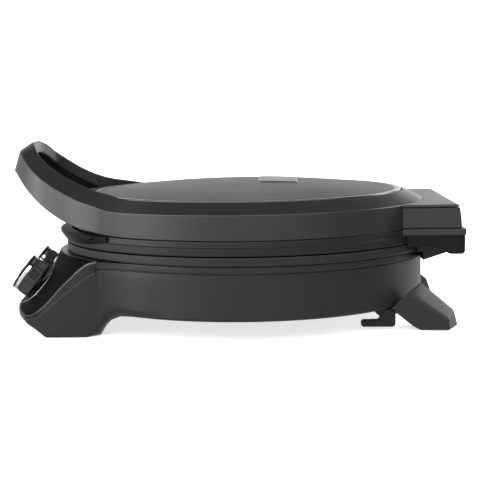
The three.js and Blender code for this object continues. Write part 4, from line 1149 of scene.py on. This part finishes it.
# ---- handle band: an inverted channel round the lid that rises into the front loop
# rows: outer top edge x, y, z; inner top edge x, y, z; height of the outer face; lean of its foot
NOSE = [[0, -220.6, 164.4, 0, -205.7, 173.3, 18.0, 6.0], [22.2, -218.8, 163.5, 20, -204.4, 172.5, 17.1, 5.8], [40.4, -213.7, 160.9, 36, -200.2, 167.9, 16.8, 5.4],
        [52.8, -208.2, 155.8, 46.5, -195.9, 162.1, 18.0, 4.9], [63.9, -201.0, 148.8, 54, -190.0, 156.6, 19.5, 4.3], [73.9, -191.8, 141.3, 59.5, -182.4, 150.3, 21.0, 3.8],
        [80.8, -180.4, 133.6, 63.8, -172.6, 143.4, 22.4, 3.2], [85.5, -171.0, 128.5, 67.6, -163.3, 138.0, 23.2, 2.6], [89.6, -163.0, 124.6, 71.6, -154.0, 133.7, 23.4, 2.0],
        [95.3, -154.2, 121.0, 78.0, -143.6, 130.0, 23.2, 1.5], [110.4, -135.3, 116.3, 95.1, -121.8, 125.6, 22.8, 0.7]]
for r in NOSE:
    k = sstep(121, 128, r[5])
    r[2], r[5], r[6] = r[2] + 0.4 * k, min(r[5] + 1.3 * k, 173.65), r[6] + 2.0 * k
rows = [[-r[0], *r[1:3], -r[3], *r[4:]] for r in NOSE[1:3][::-1]] + NOSE
for a in range(45, 127, 9):
    t = math.radians(a)
    z = 113.9 if a < 50 else 113.4
    rows.append([174 * math.sin(t), -174 * math.cos(t), z, 153.5 * math.sin(t), -153.5 * math.cos(t), z + 9.8, 22.7, 0.0])
fine = catmull(rows, 8)[16:]
start = int(np.argmin(np.abs(fine[:, 0]) + (fine[:, 1] > -200) * 999))
fine = fine[start:]
fine[0][0] = fine[0][3] = 0.0
tail = []
a_last = math.degrees(math.atan2(fine[-1][0], -fine[-1][1]))
for a in np.linspace(a_last, 180, int((180 - a_last) / 1.2) + 1)[1:]:
    t = math.radians(a)
    tail.append([174 * math.sin(t), -174 * math.cos(t), 113.4, 153.5 * math.sin(t), -153.5 * math.cos(t), 123.2, 22.7, 0.0])
st = np.vstack([fine, tail])


def band_section(s, sx):
    x, y, z, x1, y1, z1, t, o_ = s
    w, h = math.hypot(x - x1, y - y1), z1 - z
    nx, ny = (x - x1) / w, (y - y1) / w
    L = min(13.0, t - 3)
    rise = sstep(118, 160, z)
    poly = fillet([(0, 0), (o_, -t), (o_ - 3, -t), (-3.2, -2.2), (-w + 3, h - 4.2), (-w + 3, h - L), (-w, h - L), (-w, h)],
                  [1.5 + 0.8 * rise - 1.0 * sstep(120, 145, y), 0.9 + 0.5 * rise, 0.7, 1.5, 2.0, 0.7, 0.7, 1.1 + 0.8 * rise], 5)
    return [(sx * (x + nx * a), y + ny * a, z + b) for a, b in poly]


band_rows = [band_section(s, 1) for s in st] + [band_section(s, -1) for s in st[1:-1][::-1]]
band = rings("handle_band_mesh", band_rows, closed=True)
done(band, BAND, "lid", ["handle_band"], 32)

# ---- lid cover: dome, flat ring, wall and the shelf between the handle's legs
dome_top = pchip([[0, 132.5], [30, 132.1], [60, 130.9], [90, 129.0], [110, 127.3], [130, 125.1], [140, 123.95], [145.2, 123.3]])
dome_prof = [(0, 132.5)] + [(r, dome_top(r)) for r in np.linspace(4, 145, 44)] + [(145.6, 122.98), (146.0, 122.82), (146.5, 122.84), (147.0, 123.2), (147.6, 123.42), (148.3, 123.5), (151.3, 123.5), (152.0, 123.4), (152.5, 123.1), (152.8, 122.5), (152.9, 120.8), (152.9, 109.4),
            (160.5, 96.5), (168.2, 91.0), (164.6, 91.0), (157.2, 96.2), (150.2, 109.4), (150.2, 120.0), (138, 121.2), (110, 124.4), (80, 127.1), (40, 129.2), (0, 129.9)]
dome = revolve("lid_cover_mesh", dome_prof, 360)
reach = pchip([[-44, 152.4], [-38, 153.6], [-33, 157.2], [-29, 161.6], [-26, 163], [0, 163], [26, 163], [29, 161.6], [33, 157.2], [38, 153.6], [44, 152.4]])
shelf_plan = [(reach(a) * math.sin(math.radians(a)), -reach(a) * math.cos(math.radians(a))) for a in np.linspace(-44, 44, 90)] + [(95, -90), (-95, -90)]
shelf = soft_prism("shelf", shelf_plan, 104, 122.62, 0, "z")
cut(shelf, disc("t", 151.45, 90, 140, 360))
cut(shelf, revolve("t", [(140, 100), (160.2, 100), (160.2, 110), (151.5, 120), (140, 120)], 360))
join(dome, shelf)
done(dome, DOME, "lid", ["lid_cover"], 30)
dome.data.materials.append(LIP)
for poly_ in dome.data.polygons:
    if 0.1464 < math.hypot(poly_.center.x, poly_.center.y - Y0 / 1000) < 0.1529 and poly_.center.z > 0.1226:
        poly_.material_index = 1

# ---- hinge cover behind the band
hc_poly = [(110, 91.6), (200.0, 91.6), (197.1, 112.0), (195.6, 113.4), (110, 113.4)]
hc_poly = fillet(hc_poly, [0, 0.6, 1.6, 1.0, 0], 5)
hc = soft_prism("lid_hinge_cover_mesh", hc_poly, -97, 97, 1.1)
hc_plan = fillet([(-97.6, 100), (97.6, 100), (97.6, 199.6), (-97.6, 199.6)], [0, 0, 4.6, 4.6], 8)
cut(hc, soft_prism("t", hc_plan, 80, 130, 0, "z"), "INTERSECT")
sunk = box("t", -99, 99, 120, 206, 110.35, 111.4)
cut(sunk, soft_prism("t", fillet([(-94.7, 100), (94.7, 100), (94.7, 195.0), (-94.7, 195.0)], [0, 0, 3.6, 3.6], 8), 100, 120, 0, "z"))
cut(hc, sunk)
cut(hc, disc("t", 174.4, 80, 130, 360))
cut(hc, revolve("t", [(170, 113.15), (174.35, 113.15), (174.75, 113.5), (174.75, 115), (170, 115)], 360))
hollow = rings("h", [[(x, 110, 85), (x, 196.6, 85), (x, 194.2, 110.2), (x, 110, 110.2)] for x in (-93.6, 93.6)])
cut(hollow, disc("t", 177.6, 80, 130, 240))
cut(hc, hollow)
for sx in (-1, 1):
    join(hc, revolve("t", [(2.3, 91.8), (5.2, 91.8), (5.2, 110.4), (2.3, 110.4)], 40, (sx * 60, 186)))
    scr = revolve(f"hinge_screw_{'left' if sx < 0 else 'right'}_mesh", [(0, 83.5), (0.9, 83.5), (0.95, 82.75), (2.6, 82.6), (3.9, 82.8), (4.6, 83.5), (4.6, 84.8), (1.9, 84.8), (1.9, 98.0), (1.4, 98.5), (0, 98.5)], 40, (sx * 60, 186))
    cut(scr, box("t", sx * 60 - 2.6, sx * 60 + 2.6, 185.6, 186.4, 82, 83.6))
    cut(scr, box("t", sx * 60 - 0.4, sx * 60 + 0.4, 183.4, 188.6, 82, 83.6))
    done(scr, ZINC, "lid", [f"hinge_screw_{'left' if sx < 0 else 'right'}"], 35)
done(hc, BAND, "lid", ["lid_hinge_cover"], 32)
hc.data.materials.append(SHADE_DARK)
# painted shade: the groove round the hinge cover's top takes the darkest plastic at its sides and back
for poly_ in hc.data.polygons:
    if 0.1103 < poly_.center.z < 0.11145 and (abs(poly_.center.x) < 0.0969 or poly_.center.y > 0.19) and poly_.center.y < 0.2083:
        if abs(poly_.center.x) > 0.0939 or poly_.center.y > 0.205:
            poly_.material_index = 1

# ---- bare badge plate on the dome: bordered, with softly rounded corners
bx, by0, by1 = 36.0, 13.0, 51.0


def badge_top(x, y):
    edge = min(bx - abs(x), y - by0, by1 - y)
    return dome_top(math.hypot(x, y)) + 0.35 + 0.85 * sstep(-0.1, 1.1, edge) - 0.30 * sstep(2.6, 3.2, edge)


xs_b = np.unique(np.round(np.concatenate([np.linspace(-36, -32, 11), np.linspace(-32, 32, 26), np.linspace(32, 36, 11)]), 4))
ys_b = np.unique(np.round(np.concatenate([np.linspace(13, 17, 11), np.linspace(17, 47, 16), np.linspace(47, 51, 11)]), 4))
verts, faces = [], []


def badge_pt(x, y):
    """square grid point pulled inside the rounded corners."""
    R = 3.0
    cx, cy = bx - R, (by1 - by0) / 2 - R
    my = (by0 + by1) / 2
    px, py = abs(x), abs(y - my)
    if px > cx and py > cy:
        dx, dy = px - cx, py - cy
        m = max(dx, dy)
        ln = math.hypot(dx, dy)
        if ln > 1e-9:
            dx, dy = dx / ln * m, dy / ln * m
        px, py = cx + dx, cy + dy
    return math.copysign(px, x), my + math.copysign(py, y - my)


nx_, ny_ = len(xs_b), len(ys_b)
for top in (True, False):
    for y in ys_b:
        for x in xs_b:
            px, py = badge_pt(x, y)
            verts.append((px, py, badge_top(x, y) if top else dome_top(math.hypot(px, py)) + 0.06))
for layer in (0, nx_ * ny_):
    for j in range(ny_ - 1):
        for i in range(nx_ - 1):
            a = layer + j * nx_ + i
            f = (a, a + 1, a + nx_ + 1, a + nx_)
            faces.append(f if layer == 0 else f[::-1])
edge_ids = [i for i in range(nx_)] + [j * nx_ + nx_ - 1 for j in range(1, ny_)] + [(ny_ - 1) * nx_ + i for i in range(nx_ - 2, -1, -1)] + [j * nx_ for j in range(ny_ - 2, 0, -1)]
off = nx_ * ny_
for k in range(len(edge_ids)):
    a, b = edge_ids[k], edge_ids[(k + 1) % len(edge_ids)]
    faces.append((b, a, a + off, b + off))
badge = obj_from("badge_plate_mesh", verts, faces)
done(badge, BADGE, "lid", ["badge_plate"], 40)

# ---- reflector in the hood
hood_prof = fillet([(0, 112.8), (98, 110.8), (134, 107.2), (146.6, 98.0), (150.6, 84.6), (158.6, 82.4), (158.6, 81.2), (149.6, 83.4), (145.5, 97.2), (133.4, 106.0), (98, 109.6), (0, 111.6)],
                   [0, 20, 6, 5, 1.5, 0.2, 0.2, 2.2, 4, 5, 20, 0], 6)
hood = revolve("upper_reflector_mesh", hood_prof, 240)
for sx in (-1, 1):
    cut(hood, revolve("t", [(0, 100), (6, 100), (6, 125), (0, 125)], 32, (sx * 18, 102.4)))
done(hood, REFLECTOR, "lid", ["upper_reflector"], 35)

# ================================================================== carried-over CAD nodes
nodes = frame["nodes"]
for names, mat in ((("thermostat_body", "timer_body"), ZINC), (("thermostat_shaft", "timer_shaft"), SHAFT), (("terminal_block",), CERAMIC), (("lid_insulation",), WOOL)):
    for n in names:
        nodes[n].data.materials.clear()
        nodes[n].data.materials.append(mat)
        for p in nodes[n].data.polygons:
            p.use_smooth = True
        nodes[n].data.set_sharp_from_angle(angle=math.radians(30))

# ================================================================== studio
fm = Nodes("studio_floor")
fcloud = fm.noise(1.3, 3, 0.5)
fm.set(Base_Color=fm.mix(fcloud, (0.80, 0.80, 0.80), (0.83, 0.83, 0.83)), Roughness=0.85, Specular_IOR_Level=0.1, Emission_Color=WHITE, Emission_Strength=0.62)
me = bpy.data.meshes.new("studio_floor")
S_ = 14.0
me.from_pydata([(-S_, -S_, 0), (S_, -S_, 0), (S_, S_, 0), (-S_, S_, 0)], [], [(0, 1, 2, 3)])
floor = bpy.data.objects.new("studio_floor", me)
scene.collection.objects.link(floor)
floor.data.materials.append(fm.mat)
floor.location.z = -0.0002
floor.visible_glossy = False
top_data = bpy.data.lights.new("studio_top", "AREA")
top_data.shape, top_data.size, top_data.energy = "DISK", 6.0, 150.0
top = bpy.data.objects.new("studio_top", top_data)
scene.collection.objects.link(top)
top.location = (0, 0, 2.4)
top.visible_glossy = False
top.visible_camera = False

world = bpy.data.worlds.new("studio")
scene.world = world
world.use_nodes = True
wt = world.node_tree
wt.nodes.clear()


def wn(kind, **props):
    n = wt.nodes.new(kind)
    for k, v in props.items():
        setattr(n, k, v)
    return n


gen = wn("ShaderNodeTexCoord").outputs["Generated"]


def wmath(op, a, b=0.0):
    n = wn("ShaderNodeMath", operation=op)
    for i, v in enumerate((a, b)):
        if isinstance(v, (int, float)):
            n.inputs[i].default_value = v
        else:
            wt.links.new(v, n.inputs[i])
    return n.outputs[0]


def lobe(direction, inner_deg, outer_deg, power):
    """soft light patch round a direction of the sky."""
    d = Vector(direction).normalized()
    dot = wn("ShaderNodeVectorMath", operation="DOT_PRODUCT")
    wt.links.new(gen, dot.inputs[0])
    dot.inputs[1].default_value = d
    mr = wn("ShaderNodeMapRange", interpolation_type="SMOOTHSTEP")
    for k, v in zip(("From Min", "From Max", "To Min", "To Max"), (math.cos(math.radians(outer_deg)), math.cos(math.radians(inner_deg)), 0.0, power)):
        mr.inputs[k].default_value = v
    wt.links.new(dot.outputs["Value"], mr.inputs["Value"])
    return mr.outputs["Result"]


sepw = wn("ShaderNodeSeparateXYZ")
wt.links.new(gen, sepw.inputs[0])
wx, wy, wz = sepw.outputs


def ramped(value, a, b, lo_, hi_):
    """smooth step of a direction component."""
    n = wn("ShaderNodeMapRange", interpolation_type="SMOOTHSTEP")
    for k, v in zip(("From Min", "From Max", "To Min", "To Max"), (a, b, lo_, hi_)):
        n.inputs[k].default_value = v
    wt.links.new(value, n.inputs["Value"])
    return n.outputs["Result"]


# a bright belt round the horizon, strongest at the left, under a dim ceiling
front = ramped(wx, -0.45, 0.15, 0.18, 1.0)
side = wmath("ADD", wmath("MULTIPLY", ramped(wy, -0.95, -0.25, 2.4, 0.0), front), ramped(wy, 0.15, 0.80, 0.80, 0.10))
side = wmath("MULTIPLY", side, ramped(wx, -0.95, -0.2, 0.48, 1.0))
belt = wmath("MULTIPLY", side, ramped(wz, 0.16, 0.52, 1.0, 0.0))
strip = wmath("MULTIPLY", wmath("MULTIPLY", ramped(wz, 0.28, 0.42, 0.0, 1.0), ramped(wz, 0.72, 0.86, 1.0, 0.0)), ramped(wx, 0.12, 0.45, 0.0, 3.2))
back = lobe((-0.95, -0.08, 0.20), 6, 28, 0.54)
total = wmath("ADD", wmath("ADD", belt, strip), wmath("ADD", back, 0.09))
total = wmath("ADD", total, lobe((0.30, -0.93, 0.20), 8, 32, 2.4))
total = wmath("ADD", total, lobe((-0.52, 0.84, 0.08), 5, 22, 2.8))
total = wmath("ADD", total, lobe((-0.93, 0.37, -0.02), 5, 19, 1.9))
total = wmath("ADD", total, lobe((-0.50, 0.76, 0.42), 5, 18, 9.0))
darker = wmath("MULTIPLY", ramped(wy, -0.85, -0.35, 0.65, 0.0), ramped(wx, -0.35, 0.15, 1.0, 0.0))
darker = wmath("ADD", darker, wmath("MULTIPLY", ramped(wy, 0.55, 1.0, 0.0, 0.85), ramped(wz, -0.30, -0.10, 0.45, 1.0)))
below = wmath("MULTIPLY", ramped(wz, -0.90, -0.12, 0.72, 0.84), wmath("SUBTRACT", 1.0, darker))
pick = wn("ShaderNodeMix", data_type="FLOAT")
wt.links.new(ramped(wz, -0.14, 0.02, 0.0, 1.0), pick.inputs[0])
wt.links.new(below, pick.inputs[2])
wt.links.new(total, pick.inputs[3])
total = pick.outputs[0]
bg = wn("ShaderNodeBackground")
wt.links.new(total, bg.inputs["Strength"])
bg.inputs["Color"].default_value = WHITE
seen = wn("ShaderNodeBackground")
seen.inputs["Color"].default_value = WHITE
seen.inputs["Strength"].default_value = 1.0
lp = wn("ShaderNodeLightPath")
mixw = wn("ShaderNodeMixShader")
wt.links.new(lp.outputs["Is Camera Ray"], mixw.inputs[0])
wt.links.new(bg.outputs[0], mixw.inputs[1])
wt.links.new(seen.outputs[0], mixw.inputs[2])
wo = wn("ShaderNodeOutputWorld")
wt.links.new(mixw.outputs[0], wo.inputs["Surface"])

scene.view_settings.view_transform = "Standard"
scene.view_settings.look = "None"
scene.view_settings.exposure = 0.0
scene.view_settings.gamma = 1.0
